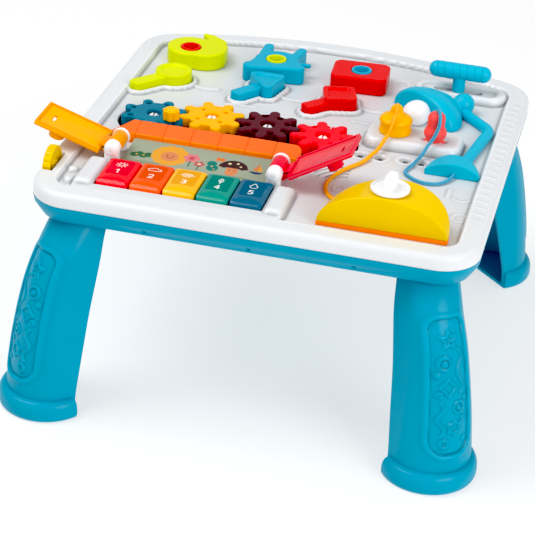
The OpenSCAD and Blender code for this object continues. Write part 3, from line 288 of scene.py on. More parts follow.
def plastic(name, colour, gloss_loss=0.26, drift=0.05, grain=0.015, grain_scale=1400.0, **plain):
    """Coloured moulded plastic: the shared group feeds colour, roughness and normal."""
    material, tree, principled = shader(name, **{"IOR": 1.5, "Specular_IOR_Level": 0.22, **plain})
    surface = tree.nodes.new("ShaderNodeGroup")
    surface.node_tree = bpy.data.node_groups["moulded_surface"]
    feed(surface, Colour=colour, Drift=drift, Gloss_Loss=gloss_loss, Grain_Scale=grain_scale,
         Grain_Depth=grain)
    feed(principled, Base_Color=surface.outputs["Colour"], Roughness=surface.outputs["Roughness"],
         Normal=surface.outputs["Normal"])
    material.diffuse_color = colour
    return material


def recoloured(material, colour):
    """A plastic whose colour comes from a socket of its own tree."""
    feed(next(n for n in material.node_tree.nodes if n.type == "GROUP"), Colour=colour)
    return material

# %% [markdown]
# The mouldings come in some twenty colours. Softer toys are a little less glossy than the
# legs, and the white shell has a faint silk grain that keeps it from looking like paper.

# %% Plastics
WHITE_SHELL = plastic("white_shell_plastic", tint(222, 225, 228), 0.3, 0.02, 0.05, 900.0,
                      Specular_IOR_Level=0.5)
PLASTICS = {name: plastic(name + "_plastic", tint(*colour), *finish) for name, colour, *finish in (
    ("white_knob", (244, 244, 245), 0.24, 0.015), ("turquoise", (0, 152, 183), 0.32, 0.04, 0.03),
    ("turquoise_lamp", (28, 180, 210), 0.34, 0.04), ("deep_teal", (0, 120, 148), 0.3),
    ("amber_gear", (255, 182, 0), 0.3), ("maroon", (92, 14, 34), 0.24, 0.08),
    ("ruby_gear", (248, 0, 34), 0.28), ("crank_knob", (254, 188, 8), 0.28, 0.04),
    ("thumbwheel", (236, 196, 8), 0.3, 0.06), ("lime", (216, 226, 0), 0.33),
    ("sky_blue", (16, 170, 202), 0.32), ("scarlet", (228, 4, 8), 0.27), ("ring_red", (232, 30, 14), 0.3),
    ("ring_blue", (34, 168, 204), 0.3), ("half_moon", (236, 196, 0), 0.17, 0.05, 0.005),
    ("half_moon_base", (255, 132, 0), 0.3, 0.04), ("amber_plug", (255, 188, 8), 0.3),
    ("coral_plug", (255, 88, 88), 0.36, 0.06), ("card_edge", (168, 178, 156), 0.4, 0.04),
    ("black_inner", (16, 16, 18), 0.5, 0.1))}
KEY_COLOURS = [tint(246, 2, 34), tint(253, 84, 2), tint(254, 182, 16), tint(0, 146, 130), tint(0, 98, 130)]
KEY_PLASTICS = [plastic(f"key_{i + 1}_plastic", colour, 0.2, Coat_Weight=0.3, Coat_Roughness=0.1)
                for i, colour in enumerate(KEY_COLOURS)]
print(len(bpy.data.materials), "materials so far")

# %% [markdown]
# The hidden parts are finished too, for views from below and for anyone who takes the table
# apart: steel with fine drawn lines, a green circuit board with tracks, battery cells with a
# printed sleeve, grey contact rubber, and a paper speaker cone.

# %% Steel, rubber, board, cells and cone
def steel(name, colour, gloss_loss, lines):
    """Drawn metal: noise stretched across the lines gives a streaked roughness and bump."""
    material, tree, principled = shader(name, Metallic=1.0)
    stretched = node(tree, "Mapping", Vector=own_place(tree), Scale=lines).outputs[0]
    streaks = noise(tree, stretched, Scale=60.0, Detail=3.0)
    feed(principled, Base_Color=shaded(tree, colour, mapped(tree, streaks, To_Min=0.82, To_Max=1.0)),
         Roughness=mapped(tree, streaks, To_Min=gloss_loss, To_Max=gloss_loss + 0.15),
         Normal=bumped(tree, streaks, 0.15, 0.0001))
    return material


STEEL = steel("drawn_steel", tint(200, 202, 205), 0.25, (2.0, 40.0, 40.0))
ZINC = steel("zinc_screw", tint(176, 178, 182), 0.32, (30.0, 30.0, 3.0))
BRASS = steel("brass_contact", tint(214, 176, 92), 0.3, (30.0, 3.0, 30.0))
RUBBER = plastic("grey_contact_rubber", tint(120, 122, 126), 0.62, 0.08, 0.3, 700.0)
PAPER_CONE = plastic("speaker_cone_paper", tint(52, 53, 56), 0.7, 0.12, 0.6, 500.0)

BOARD, tree, principled = shader("green_circuit_board", Roughness=0.3)
tracks = node(tree, "TexBrick", {"offset": 0.3}, Vector=own_place(tree), Scale=240.0, Mortar_Size=0.03,
              Color1=tint(18, 92, 48), Color2=tint(24, 104, 54), Mortar=tint(64, 150, 84))
feed(principled, Base_Color=tracks.outputs["Color"])

CELL, tree, principled = shader("battery_sleeve", Roughness=0.28)
band = maths(tree, "GREATER_THAN", own_place(tree, "X"), 12 * MM)
feed(principled, Base_Color=blend_colour(tree, band, tint(44, 46, 50), tint(196, 130, 60)))

# %% [markdown]
# A braided cord is two families of threads that wind round it in opposite ways. The
# attributes along and around lay those threads on the tube: each family is a sine of a slanted
# sum of the two, and where the families cross, the braid rises. On the blue cord one family is
# paler, which gives the small chevrons.

# %% Braid
def braid(name, dark, pale, pitch, threads, contrast):
    """Braided cord: two slanted thread families, in the colours dark and pale."""
    material, tree, principled = shader(name, Roughness=0.55)
    along, around = (node(tree, "Attribute", {"attribute_name": label}).outputs["Fac"]
                     for label in ("along", "around"))
    run = maths(tree, "MULTIPLY", along, math.tau / pitch)
    turn = maths(tree, "MULTIPLY", around, math.tau * threads)
    one, other = (maths(tree, "SINE", maths(tree, how, run, turn)) for how in ("ADD", "SUBTRACT"))
    mask = maths(tree, "MULTIPLY", maths(tree, "ADD", maths(tree, "MULTIPLY", one, other), 1.0), 0.5)
    mix = mapped(tree, mask, To_Min=0.5 - contrast / 2, To_Max=0.5 + contrast / 2)
    feed(principled, Base_Color=blend_colour(tree, mix, dark, pale), Normal=bumped(tree, mask, 0.5, 0.0004))
    return material


YELLOW_BRAID = braid("yellow_braid", tint(255, 150, 4), tint(255, 196, 30), 3.6 * MM, 2, 0.8)
BLUE_BRAID = braid("blue_braid", tint(2, 100, 156), tint(96, 200, 226), 4.0 * MM, 2, 1.0)
yellow_cord.data.materials.append(YELLOW_BRAID)
blue_cord.data.materials.append(BLUE_BRAID)

# %% [markdown]
# Exact parts arrive as loose triangles with knife-sharp edges, and no moulding is that sharp.
# The first way makes a merged copy of a part, joins its flat triangles into faces, and
# bevels what is still sharp. The second goes further, for chunky toys with soft fat edges: it
# rebuilds the copy from small cells and lets a few smoothing passes melt the edges round.

# %% Modelling helpers
MERGE, FLAT = 0.004 * MM, math.radians(0.6)
SPILL = 0.05 * MM  # How far a bevel may push a part past its own box
LEAST_EDGE = 0.2


def only(obj):
    """Makes one object the only selected and active one."""
    bpy.ops.object.select_all(action="DESELECT")
    obj.select_set(True)
    bpy.context.view_layer.objects.active = obj
    return obj


def apply_modifier(obj, kind, **settings):
    only(obj)
    modifier = obj.modifiers.new(kind.lower(), kind)
    for key, value in settings.items():
        setattr(modifier, key, value)
    bpy.ops.object.modifier_apply(modifier=modifier.name)
    return obj


def points_of(obj):
    return np.array([v.co for v in obj.data.vertices])


def extent(obj):
    co = points_of(obj)
    return co.min(0), co.max(0)


def settle(obj, name, material, body, *stands_for, slot=None, angle=38):
    """Names a finished piece, applies its place, shades it, and makes it ride on its body."""
    only(obj)
    bpy.ops.object.transform_apply(location=True, rotation=True, scale=True)
    obj.name = obj.data.name = name
    obj.data.materials.clear()
    obj.data.materials.append(material)
    bpy.ops.object.shade_smooth_by_angle(angle=math.radians(angle))
    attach(obj, body)
    if stands_for:
        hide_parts(*stands_for)
    return obj


def merged_copy(part):
    """A copy of an exact part with its doubles merged and its flat triangles joined."""
    obj = only(linked(part + "_copy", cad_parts[part].data.copy()))
    bpy.ops.object.mode_set(mode="EDIT")
    bpy.ops.mesh.select_all(action="SELECT")
    bpy.ops.mesh.remove_doubles(threshold=MERGE)
    bpy.ops.mesh.dissolve_limited(angle_limit=FLAT)
    bpy.ops.object.mode_set(mode="OBJECT")
    return obj


def soft_edged(part, material, body, edge=0.6, segments=2):
    """A part as its mould gives it: its sharp edges are rounded by edge mm, or less if that spills over."""
    low, high = extent(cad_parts[part])
    while True:
        obj = merged_copy(part)
        apply_modifier(obj, "BEVEL", width=edge * MM, segments=segments, limit_method="ANGLE",
                       angle_limit=math.radians(32), use_clamp_overlap=edge < LEAST_EDGE)
        new_low, new_high = extent(obj)
        if edge < LEAST_EDGE or (np.all(new_low > low - SPILL) and np.all(new_high < high + SPILL)):
            break
        bpy.data.objects.remove(obj)
        edge /= 2
    print(f"{part}: edges {edge:.2f} mm, {len(obj.data.polygons)} faces")
    return settle(obj, part + "_moulding", material, body, part)


def melted(part, material, body, cell, passes):
    """A part rebuilt from cells of some mm and smoothed, for toys with fat round edges."""
    obj = merged_copy(part)
    apply_modifier(obj, "REMESH", mode="VOXEL", voxel_size=cell * MM, use_smooth_shade=True)
    apply_modifier(obj, "SMOOTH", factor=0.5, iterations=passes)
    print(f"{part}: {len(obj.data.polygons)} faces after melting its edges")
    return settle(obj, part + "_moulding", material, body, part, angle=60)

# %% [markdown]
# The white shell is one large thin moulding whose top rolls softly between levels: a rim, a
# play floor 5 mm lower, a plinth for the piano, pads, pockets and a platform. Modelling each
# level with its own fillet would take hundreds of steps. A height field does it in one: a
# fine grid is laid over the table, and each vertex is lifted by the sum of soft-edged shapes
# above it. Each shape is a signed distance, which is positive inside and zero on its edge.

# %% Plan shapes as signed distances
union = np.maximum.reduce


def polar(r, a, cx=0, cy=0):
    """The place at distance r and angle a from a middle."""
    return cx + r * math.cos(a), cy + r * math.sin(a)


def disc(x, y, cx, cy, r):
    return r - np.hypot(x - cx, y - cy)


def rounded(qx, qy, r):
    """Distance in from a round corner, where qx and qy run out past the start of its curve."""
    return r - np.hypot(np.maximum(qx, 0), np.maximum(qy, 0)) - np.minimum(np.maximum(qx, qy), 0)


def panel(x, y, x0, y0, x1, y1, r, turn=0.0):
    """A rectangle with round corners, turned about its middle."""
    cx, cy, c, s = (x0 + x1) / 2, (y0 + y1) / 2, math.cos(math.radians(turn)), math.sin(math.radians(turn))
    u, v = (x - cx) * c + (y - cy) * s, (y - cy) * c - (x - cx) * s
    return rounded(abs(u) - (x1 - x0) / 2 + r, abs(v) - (y1 - y0) / 2 + r, r)


def bar(x, y, ax, ay, bx, by, r):
    """A round-ended bar from a to b."""
    t = np.clip(((x - ax) * (bx - ax) + (y - ay) * (by - ay)) / ((bx - ax) ** 2 + (by - ay) ** 2), 0, 1)
    return r - np.hypot(x - ax - t * (bx - ax), y - ay - t * (by - ay))


def bow(x, y, cx, cy, r, a0, a1, w):
    """A bow: part of a ring of middle radius r and width w, from angle a0 to a1."""
    a = (np.degrees(np.arctan2(y - cy, x - cx)) - a0) % 360
    span = a1 - a0
    t = np.radians(a0 + np.where(a < span, a, np.where(a < span / 2 + 180, span, 0)))
    return w / 2 - np.hypot(x - cx - r * np.cos(t), y - cy - r * np.sin(t))


def rise(d, soft):
    """0 outside and 1 inside, with a slope soft mm wide centred on the edge."""
    t = np.clip(d / soft + 0.5, 0, 1)
    return t * t * (3 - 2 * t)


def pillow(d, r):
    """0 outside and 1 inside, with a steep side that rounds over within r mm."""
    return np.sqrt(1 - (1 - np.clip(d / r, 0, 1)) ** 2)


# Strength of the painted shade in hollows and of the painted highlight on ridges.
HOLLOW_SHADE, EDGE_HIGHLIGHT = 0.42, 0.12


def mark_relief(obj, height, x, y, reach, full, where, base=0):
    """Painted shade and highlight from how far each vertex stands over what lies within reach mm, as a share
    of full mm.
    """
    ring = [polar(reach, a) for a in np.arange(8) * math.pi / 4]
    over = (height(x, y) - sum(height(x + dx, y + dy) for dx, dy in ring) / 8) / full
    # The base adds painted shade on top, such as the darker play floor inside the rim.
    relief = np.where(where, np.where(over < 0, HOLLOW_SHADE, EDGE_HIGHLIGHT) * np.clip(over, -1, 1) + base, 0)
    obj.data.attributes.new("relief", "FLOAT", "POINT").data.foreach_set("value", relief)
    print(obj.name, "relief marks from", relief.min().round(2), "to", relief.max().round(2))

# %% Outline of the table
HALF, FRONT, BACK, ARCH = 220, 215, 252, 520
FRONT_R, BACK_R = 40, 45
ARCH_Y = BACK - ARCH
CORNER_X = HALF - BACK_R
CORNER_Y = ARCH_Y + math.sqrt((ARCH - BACK_R) ** 2 - CORNER_X ** 2)
CORNER_A = math.atan2(CORNER_Y - ARCH_Y, CORNER_X)


def table_outline(inset):
    """The outline, set in by inset mm, with the same number of points for any inset."""
    arcs = ((-HALF + FRONT_R, -FRONT + FRONT_R, FRONT_R - inset, math.pi, 1.5 * math.pi, 20),
            (HALF - FRONT_R, -FRONT + FRONT_R, FRONT_R - inset, 1.5 * math.pi, math.tau, 20),
            (CORNER_X, CORNER_Y, BACK_R - inset, 0, CORNER_A, 20),
            (0, ARCH_Y, ARCH - inset, CORNER_A, math.pi - CORNER_A, 60),
            (-CORNER_X, CORNER_Y, BACK_R - inset, math.pi - CORNER_A, math.pi, 20))
    return [polar(r, a, cx, cy) for cx, cy, r, a0, a1, n in arcs
            for a in (a0 + (a1 - a0) * i / n for i in range(n + 1))]


def outline_solid(name, profile):
    """A solid whose side follows the table's outline, through (inset, height) pairs."""
    return rings_solid(name, [[(x, y, z) for x, y in table_outline(inset)] for inset, z in profile])


def cut(obj, tool, operation="DIFFERENCE"):
    """Cuts obj with a tool, which is thrown away."""
    apply_modifier(obj, "BOOLEAN", object=tool, operation=operation, solver="MANIFOLD")
    bpy.data.objects.remove(tool)
    return obj

# %% [markdown]
# The levels follow one another from the floor up. A plain sum would stack shapes that overlap,
# so pads that may meet are combined with the larger of the two, and pockets are sunk last.

# %% Places of the toys, in mm
FLOOR_Z, RIM_Z, RIM_WIDTH = 230.0, 235.0, 23
TOY_KEYS = ((-158, 93, 231, 54), (-57, 100, 235, 45), (26, 93, 229, 47))  # x, y, turn and reach
HANDLE_R = 8
PIANO_X, KEY_PITCH = -159, 33.4
CHEEKS = ((-180, -160.4), (9.4, 29))
PARKING = ((82, -18, 20), (126, -15.5, 16))  # x, y and the gap between the prongs
SOCKETS = [(cx + side * gap, cy) for cx, cy, gap in PARKING for side in (-0.5, 0.5)]
CORAL_HOLES = ((130, 22), (151, 22))
SLOT_X0, SLOT_X1, SLOT_Y, SLOT_R = 120.4, 165.6, 166, 4.4
KNOBS = ((-190, -150, 5.5, 3.6), (-186.5, -172, 6, 4), (-183, -186, 3.5, 2))  # x, y, radius, height
POCKET_BOWS = ((-118, 118, 33.5, 235, 290), (-22, 122, 33.5, 245, 300), (66, 122, 31.5, 225, 285))
THIN_BARS = ((-88, 55, -58, 57), (48, 60, 84, 56), (171.5, -80, 171.5, -64))
THIN_BOWS = ((186, -78, 9, 200, 330, 3), (190, -122, 7.5, 20, 300, 2.8), (67, -101, 6, 30, 230, 2.6))
RIB_X, RIB_Y, RIB_PITCH, RIB_COUNT, RIB_HALF, RIB_LEAN = 207.5, -132, 14, 21, 5.1, math.radians(18)

# %% Height of the shell's top
def inside_rim(x, y):
    """Distance from the inner edge of the rim, positive on the play floor."""
    hx, hy = HALF - RIM_WIDTH, FRONT - RIM_WIDTH
    sides = panel(x, y, -hx, -hy, hx, 400, 17)
    arch = (ARCH - RIM_WIDTH) - np.hypot(x, y - ARCH_Y)
    corner = (BACK_R - RIM_WIDTH) - np.hypot(np.maximum(abs(x) - CORNER_X, 0), np.maximum(y - CORNER_Y, 0))
    beside = np.where(y > CORNER_Y, corner, sides)
    return np.minimum(np.minimum(sides, arch), np.where(abs(x) > CORNER_X, beside, 99))


def toy_key_plan(x, y, i):
    """A toy key from above: a handle, and a round, three-cornered or square head."""
    cx, cy, turn, reach = TOY_KEYS[i]
    handle = bar(x, y, cx, cy, *polar(reach - HANDLE_R, math.radians(turn), cx, cy), HANDLE_R)
    if i == 0:
        head = disc(x, y, cx, cy, 19.8)
    elif i == 1:
        corners = [(cx - 13.5, cy + 11.5), (cx + 11.5, cy + 12.5), (cx + 5.4, cy - 15)]
        edges = [bar(x, y, *a, *b, 6.5) for a, b in zip(corners, corners[1:] + corners[:1])]
        head = union(edges + [disc(x, y, cx + 1, cy + 5, 11)])
    else:
        head = panel(x, y, cx - 17.5, cy - 18.5, cx + 17.5, cy + 18.5, 6, turn=16)
    return np.maximum(head, handle)


def shell_height(x, y):
    """Height of the shell's top over places in mm: rim and pads, then pockets, dishes and ribs."""
    keys = [toy_key_plan(x, y, i) for i in range(3)]
    pads = [5 * rise(panel(x, y, -180, -230, 29, -122.5, 5), 3),
            10.5 * pillow(panel(x, y, 68, 3, 170, 50, 13), 5.5),
            8.4 * pillow(bar(x, y, 114, 168, 178, 168, 18.6), 5)]
    pads += [9.4 * pillow(panel(x, y, x0 - 1, -187, x1 + 1, -126, 7), 8) for x0, x1 in CHEEKS]
    pads += [1.8 * rise(bow(x, y, *numbers, 5), 2.2) for numbers in POCKET_BOWS]
    pads += [1.6 * rise(bar(x, y, cx - 10, cy, cx + 10, cy, 9), 4) for cx, cy, _ in PARKING]
    pads += [high * np.sqrt(np.clip(1 - (r - disc(x, y, cx, cy, r)) ** 2 / r ** 2, 0, 1))
             for cx, cy, r, high in KNOBS]
    pads += [1.3 * rise(bar(x, y, *ends, 1.8), 1.8) for ends in THIN_BARS]
    pads += [1.2 * rise(bow(x, y, *numbers), 1.8) for numbers in THIN_BOWS]
    pads += [3.6 * pillow(key + 6, 2.4) for key in keys]
    z = np.maximum(RIM_Z - (RIM_Z - FLOOR_Z) * rise(inside_rim(x, y), 2.6), FLOOR_Z + union(pads))
    for key in keys:
        z = z - (z - FLOOR_Z - 0.6) * rise(key + 0.9, 1.4)
    dishes = [(2, disc(x, y, cx, cy, 3), 2) for cx, cy in CORAL_HOLES]
    dishes += [(2.1, bar(x, y, 113, SLOT_Y, 175, SLOT_Y, 10), 4), (1.5, disc(x, y, 79, 176, 7), 4)]
    dishes += [(3, disc(x, y, cx, cy, 6.6), 3.4) for cx, cy in SOCKETS]
    for depth, distance, soft in dishes:
        z = z - depth * rise(distance, soft)
    dx, dy = RIB_HALF * math.cos(RIB_LEAN), RIB_HALF * math.sin(RIB_LEAN)
    for cy in (RIB_Y + RIB_PITCH * k for k in range(RIB_COUNT)):
        z = z + 0.7 * rise(bar(x, y, RIB_X - dx, cy + dy, RIB_X + dx, cy - dy, 2.4), 1.8)
    return z

# %% The shell from its height field
def flat_grid(low, high, cell, z=0.0):
    """A flat grid between two corners in mm, with cells of about cell mm, z metres up."""
    (x0, y0), (x1, y1) = low, high
    bpy.ops.mesh.primitive_grid_add(x_subdivisions=round((x1 - x0) / cell),
                                    y_subdivisions=round((y1 - y0) / cell), size=1)
    grid = bpy.context.object
    grid.scale = ((x1 - x0) * MM, (y1 - y0) * MM, 1)
    grid.location = ((x0 + x1) / 2 * MM, (y0 + y1) / 2 * MM, z)
    bpy.ops.object.transform_apply(location=True, rotation=False, scale=True)
    return grid


EDGE_PROFILE = [(0.6, 220), (0.1, 220.7), (0, 221.4), (0, 229), (0.35, 230.8), (1, 232.2), (2, 233.4),
                (3.4, 234.3), (4.8, 234.8), (6.4, 235.02), (6.4, 280)]
WALL, INSIDE_TOP = 3, 227

shell = flat_grid((-222, -217), (222, 254), 1.564)
co = points_of(shell)
co[:, 2] = shell_height(co[:, 0] / MM, co[:, 1] / MM) * MM
shell.data.vertices.foreach_set("co", co.ravel())
only(shell)
bpy.ops.object.mode_set(mode="EDIT")
bpy.ops.mesh.select_all(action="DESELECT")
bpy.ops.mesh.select_mode(type="EDGE")
bpy.ops.mesh.select_non_manifold()
bpy.ops.mesh.extrude_region_move(TRANSFORM_OT_translate={"value": (0, 0, -0.02)})
bpy.ops.transform.resize(value=(1, 1, 0))
bpy.ops.mesh.edge_face_add()
bpy.ops.object.mode_set(mode="OBJECT")
print("shell block", len(shell.data.polygons), "faces, base at", round(extent(shell)[0][2] / MM, 1))
cut(shell, outline_solid("form", EDGE_PROFILE), "INTERSECT")
cut(shell, outline_solid("inside", [(WALL, 210), (WALL, INSIDE_TOP)]))
print("shell", len(shell.data.polygons), "faces")

# %% [markdown]
# Openings are cut afterwards with plain solids, because a cut keeps its edge crisp where a
# height field would make steps: the four gear wells, the piano's opening, the speaker's
# curved slots, the blind sockets for the plugs, the slot of the slide handle, and the notch
# for the thumbwheel. A short slope on each well's edge keeps it friendly to fingers.

# %% Cutting tools
def rod(place, radius, depth, sides=64):
    """A cylinder in mm, centred on its place."""
    bpy.ops.mesh.primitive_cylinder_add(vertices=sides, radius=radius * MM, depth=depth * MM,
                                        location=Vector(place) * MM)
    return bpy.context.object


def funnel(place, low_r, high_r, depth, sides):
    """A cone cut off at both ends, in mm, centred on its place."""
    bpy.ops.mesh.primitive_cone_add(vertices=sides, radius1=low_r * MM, radius2=high_r * MM, depth=depth * MM,
                                    location=[q * MM for q in place])
    return bpy.context.object


def brick(low, high):
    """A box in mm between two corners."""
    low, high = Vector(low), Vector(high)
    bpy.ops.mesh.primitive_cube_add(size=1, location=(low + high) / 2 * MM)
    bpy.context.object.scale = (high - low) * MM
    bpy.ops.object.transform_apply(location=False, rotation=False, scale=True)
    return bpy.context.object

# %% Gear axles, wells and the other openings
GEAR_PITCH, TIP_R, SOCKET_R = 60, 34.4, 3.6


def next_axle(start, angle):
    return polar(GEAR_PITCH, math.radians(angle), *start)


AXLE_YELLOW = (-90.5, 2.0)
AXLE_TEAL = next_axle(AXLE_YELLOW, 194.5)
AXLE_MAROON = next_axle(AXLE_YELLOW, -1)
AXLE_RED = next_axle(AXLE_MAROON, -5.5)
for x, y in (AXLE_TEAL, AXLE_YELLOW, AXLE_MAROON, AXLE_RED):
    cut(shell, rod((x, y, 226), TIP_R + 2.6, 16, sides=128))
    cut(shell, funnel((x, y, 229.3), TIP_R + 1.4, TIP_R + 4, 2.6, 128))

cut(shell, brick((PIANO_X - 0.6, -182, 215), (PIANO_X + 5 * KEY_PITCH + 0.6, -126, 250)))
for x, y in SOCKETS:
    cut(shell, rod((x, y, 229), SOCKET_R, 14, sides=32))
    cut(shell, funnel((x, y, 231.1), 3.2, 7.4, 4.2, 48))
for x in (SLOT_X0, SLOT_X1):
    cut(shell, rod((x, SLOT_Y, 232), SLOT_R, 30))
cut(shell, brick((SLOT_X0, SLOT_Y - SLOT_R, 217), (SLOT_X1, SLOT_Y + SLOT_R, 247)))
cut(shell, brick((-232, -169, 210), (-205.5, -127, 250)))

SPEAKER_AT, SPEAKER_R, SLOT_PITCH, SLOT_WIDTH = (75, -95, 229), 25, 7, 2.4
for r in (SPEAKER_R + SLOT_PITCH * i for i in range(4)):
    slot = rod(SPEAKER_AT, r, 12, sides=160)
    cut(slot, rod(SPEAKER_AT, r - SLOT_WIDTH, 20, sides=160))
    cut(slot, brick((36, -81, 215), (70, -47, 240)), "INTERSECT")
    cut(shell, slot)
print("with openings:", len(shell.data.polygons), "faces, size", np.ptp(points_of(shell), 0).round(4))
settle(shell, "table_shell", WHITE_SHELL, "table", "top_shell", "play_floor", angle=45)
co, facing = points_of(shell), np.array([v.normal for v in shell.data.vertices])
x, y = co[:, 0] / MM, co[:, 1] / MM
on_top = (facing[:, 2] > 0.1) & (co[:, 2] > 226 * MM)
# Painted shade in the shell's hollows and painted highlight on its edges; the play floor inside the rim is
# painted 7% darker than the rim.
mark_relief(shell, shell_height, x, y, 3.4, 1.5, on_top, -0.07 * rise(inside_rim(x, y), 3))

# %% [markdown]
# Each leg is a half-round shell that stands with its curve outwards, swells into a collar at
# the foot, and carries a sunk panel with raised pictures. The sections of the leg are half
# circles of changing size, so the outer face is a loft through them. Its grid is fine enough
# to press the panel in and to raise the line pictures by moving vertices along their normals,
# as a mould maker cuts them. The leg is then hollowed with a smaller loft. One leg is made,
# and the other three are its mirror images.

# %% Sections of a leg
FOOT_X, FOOT_Y = 195.5, 210.5
LEG_SECTIONS = np.array([  # height, x, y, radius and length of the wings
    (0, FOOT_X, FOOT_Y, 42, 10), (20, FOOT_X, 208, 41.5, 10), (66, FOOT_X, 208, 37, 20),
    (107, 193.5, 205, 32.5, 26), (140, 189.5, 200.5, 30, 28.5), (168, 183, 194, 28, 26),
    (188, 177.5, 182, 27.5, 19), (201, 172.5, 170, 27, 15)])
LEVELS = np.linspace(0, 201, 202)
WINDOW = np.hanning(51)[1:-1] / np.hanning(51).sum()


def smoothed(values):
    """Values at every level, with the kinks of their line rounded off."""
    line = np.interp(LEVELS, LEG_SECTIONS[:, 0], values)
    return np.convolve(np.pad(line, len(WINDOW) // 2, "reflect", reflect_type="odd"), WINDOW, "valid")


LEG_TABLE = [smoothed(LEG_SECTIONS[:, k]) for k in range(1, 5)]
OUTWARD = np.array([math.sqrt(0.5), -math.sqrt(0.5)])
ACROSS = np.array([math.sqrt(0.5), math.sqrt(0.5)])


def leg_section(z, inset=0.0, longer=0.0, points=150):
    """Points round the outer half of a section, from wing tip to wing tip."""
    cx, cy, r, wing = (np.interp(z, LEVELS, column) for column in LEG_TABLE)
    middle, r, wing = np.array([cx, -cy]), r - inset, wing + longer
    total = 2 * wing + math.pi * r
    ring = []
    for s in (total * k / points for k in range(points + 1)):
        if s < wing:
            ring.append(middle - r * ACROSS - (wing - s) * OUTWARD)
        elif s > total - wing:
            ring.append(middle + r * ACROSS - (s - total + wing) * OUTWARD)
        else:
            a = (s - wing) / r
            ring.append(middle - r * math.cos(a) * ACROSS + r * math.sin(a) * OUTWARD)
    return np.array(ring), middle

# %% Line pictures in the panel of a leg
LINE_HEIGHT, LINE_HALF = 1.3, 1.1
LEG_PICTURES = [
    ("star", 0, 152, 9, 3.8, 5), ("star", -3, 107, 8.5, 5.6, 4), ("star", 3, 66, 8, 4.6, 6),
    ("wave", 100, 142, 10, 3.2), ("wave", 58, 92, -11, 3.2), ("ring", -6, 130, 6), ("ring", 8, 86, 5.5),
    ("ring", -8, 50, 4), ("ring", -12, 100, 2), ("ring", 14, 74, 1.8), ("dot", -6, 130, 1.8),
    ("dot", 8, 86, 1.6), ("dot", 15, 52, 1.8), ("dot", -14, 119, 1.6), ("dot", 16, 94, 1.6)]
PANEL_SHIFT, PANEL_MIDDLE, PANEL_HALF, PANEL_SINK, BEAD = 3.5, 104.5, 66.5, 2.4, 0.9
PANEL_ENDS = (60, 158)


def line_distance(u, v, kind, *numbers):
    """Distance to the line of one shape: a ring, a star, an upright wave or a filled dot."""
    if kind == "ring":
        cx, cy, r = numbers
        return abs(np.hypot(u - cx, v - cy) - r)
    if kind == "star":
        cx, cy, outer, inner, points = numbers
        tips = [(cx + (outer, inner)[k % 2] * math.sin(math.pi * k / points),
                 cy + (outer, inner)[k % 2] * math.cos(math.pi * k / points)) for k in range(2 * points)]
        return -union([bar(u, v, *a, *b, 0) for a, b in zip(tips, tips[1:] + tips[:1])])
    if kind == "wave":
        v0, v1, u0, swing = numbers
        t = np.clip((v - v0) / (v1 - v0), 0, 1)
        return np.hypot((u - u0 - swing * np.sin(t * math.tau * 1.5)) * 0.8, v - v0 - t * (v1 - v0))
    cx, cy, r = numbers
    return np.maximum(np.hypot(u - cx, v - cy) - r, 0)


def leg_depth(u, v):
    """How far the leg's face is raised at a place across and up: the panel, its bead and its pictures."""
    corner = np.interp(v, PANEL_ENDS, (16, 10))
    inside = rounded(abs(u) - np.interp(v, PANEL_ENDS, (22, 17.5)) + corner,
                     abs(v - PANEL_MIDDLE) - PANEL_HALF + corner, corner)
    sunk = rise(inside, 1.5)
    bead = BEAD * np.exp(-((inside + 3) / 1.9) ** 2)
    nearest = np.minimum.reduce([line_distance(u, v, *shape) for shape in LEG_PICTURES])
    return bead - PANEL_SINK * sunk + LINE_HEIGHT * rise(LINE_HALF - nearest, LINE_HALF) * sunk

# %% One leg
COLLAR_R, LEG_WALL = 48.5, 3.4
COLLAR_PROFILE = ((0, 2.6), (0.6, 1.7), (2, 0.8), (4, 0.2), (6, 0), (12, 0.3),  # height and inset
                  (15, 1), (17.5, 2.3), (19, 3.5), (19.8, 5), (20.4, 6.9))

rings = []
for z in np.concatenate([np.linspace(0, 20, 5), np.linspace(24, 196, 190), np.linspace(198, 201, 3)]):
    ring, middle = leg_section(z)
    outward = np.gradient(ring, axis=0)[:, ::-1] * [1, -1]
    outward /= np.linalg.norm(outward, axis=1)[:, None]
    facing = (ring - middle) @ OUTWARD > 2
    depth = leg_depth((ring - middle) @ ACROSS + PANEL_SHIFT, np.full(len(ring), z)) * facing
    rings.append([(x, y, z) for x, y in ring + outward * depth[:, None]])
leg = rings_solid("leg", rings)
collar = [[(*polar(COLLAR_R - inset, a, FOOT_X, -FOOT_Y), z) for a in np.radians(np.linspace(-148, 58, 72))]
          for z, inset in COLLAR_PROFILE]
cut(leg, rings_solid("collar", collar), "UNION")
hollow = [[(x, y, z) for x, y in leg_section(z, inset=LEG_WALL, longer=40, points=48)[0]]
          for z in (4, 14, 24, 45, 66, 86, 107, 124, 140, 154, 168, 178, 188, 198)]
cut(leg, rings_solid("hollow", hollow))
print("one leg:", len(leg.data.polygons), "faces")

# %% Four legs
for part, flip in (("leg_front_left", (-1, 1)), ("leg_back_right", (1, -1)), ("leg_back_left", (-1, -1)),
                   ("leg_front_right", (1, 1))):
    copy = only(linked(part + "_shell", leg.data.copy()))
    copy.scale = (*flip, 1)
    bpy.ops.object.transform_apply(location=True, rotation=True, scale=True)
    bpy.ops.object.mode_set(mode="EDIT")
    bpy.ops.mesh.select_all(action="SELECT")
    bpy.ops.mesh.normals_make_consistent(inside=False)
    bpy.ops.object.mode_set(mode="OBJECT")
    settle(copy, part + "_shell", PLASTICS["turquoise"], "table", part, angle=45)
    x, y, z = points_of(copy).T / MM
    middle = [np.interp(z, LEVELS, column) for column in LEG_TABLE[:2]]
    place = np.column_stack([x * flip[0] - middle[0], y * flip[1] + middle[1]])
    # Painted shade in the sunk panel and painted highlight on its bead and raised pictures.
    mark_relief(copy, leg_depth, place @ ACROSS + PANEL_SHIFT, z, 2.2, 1.1, place @ OUTWARD > 2)
bpy.data.objects.remove(leg)

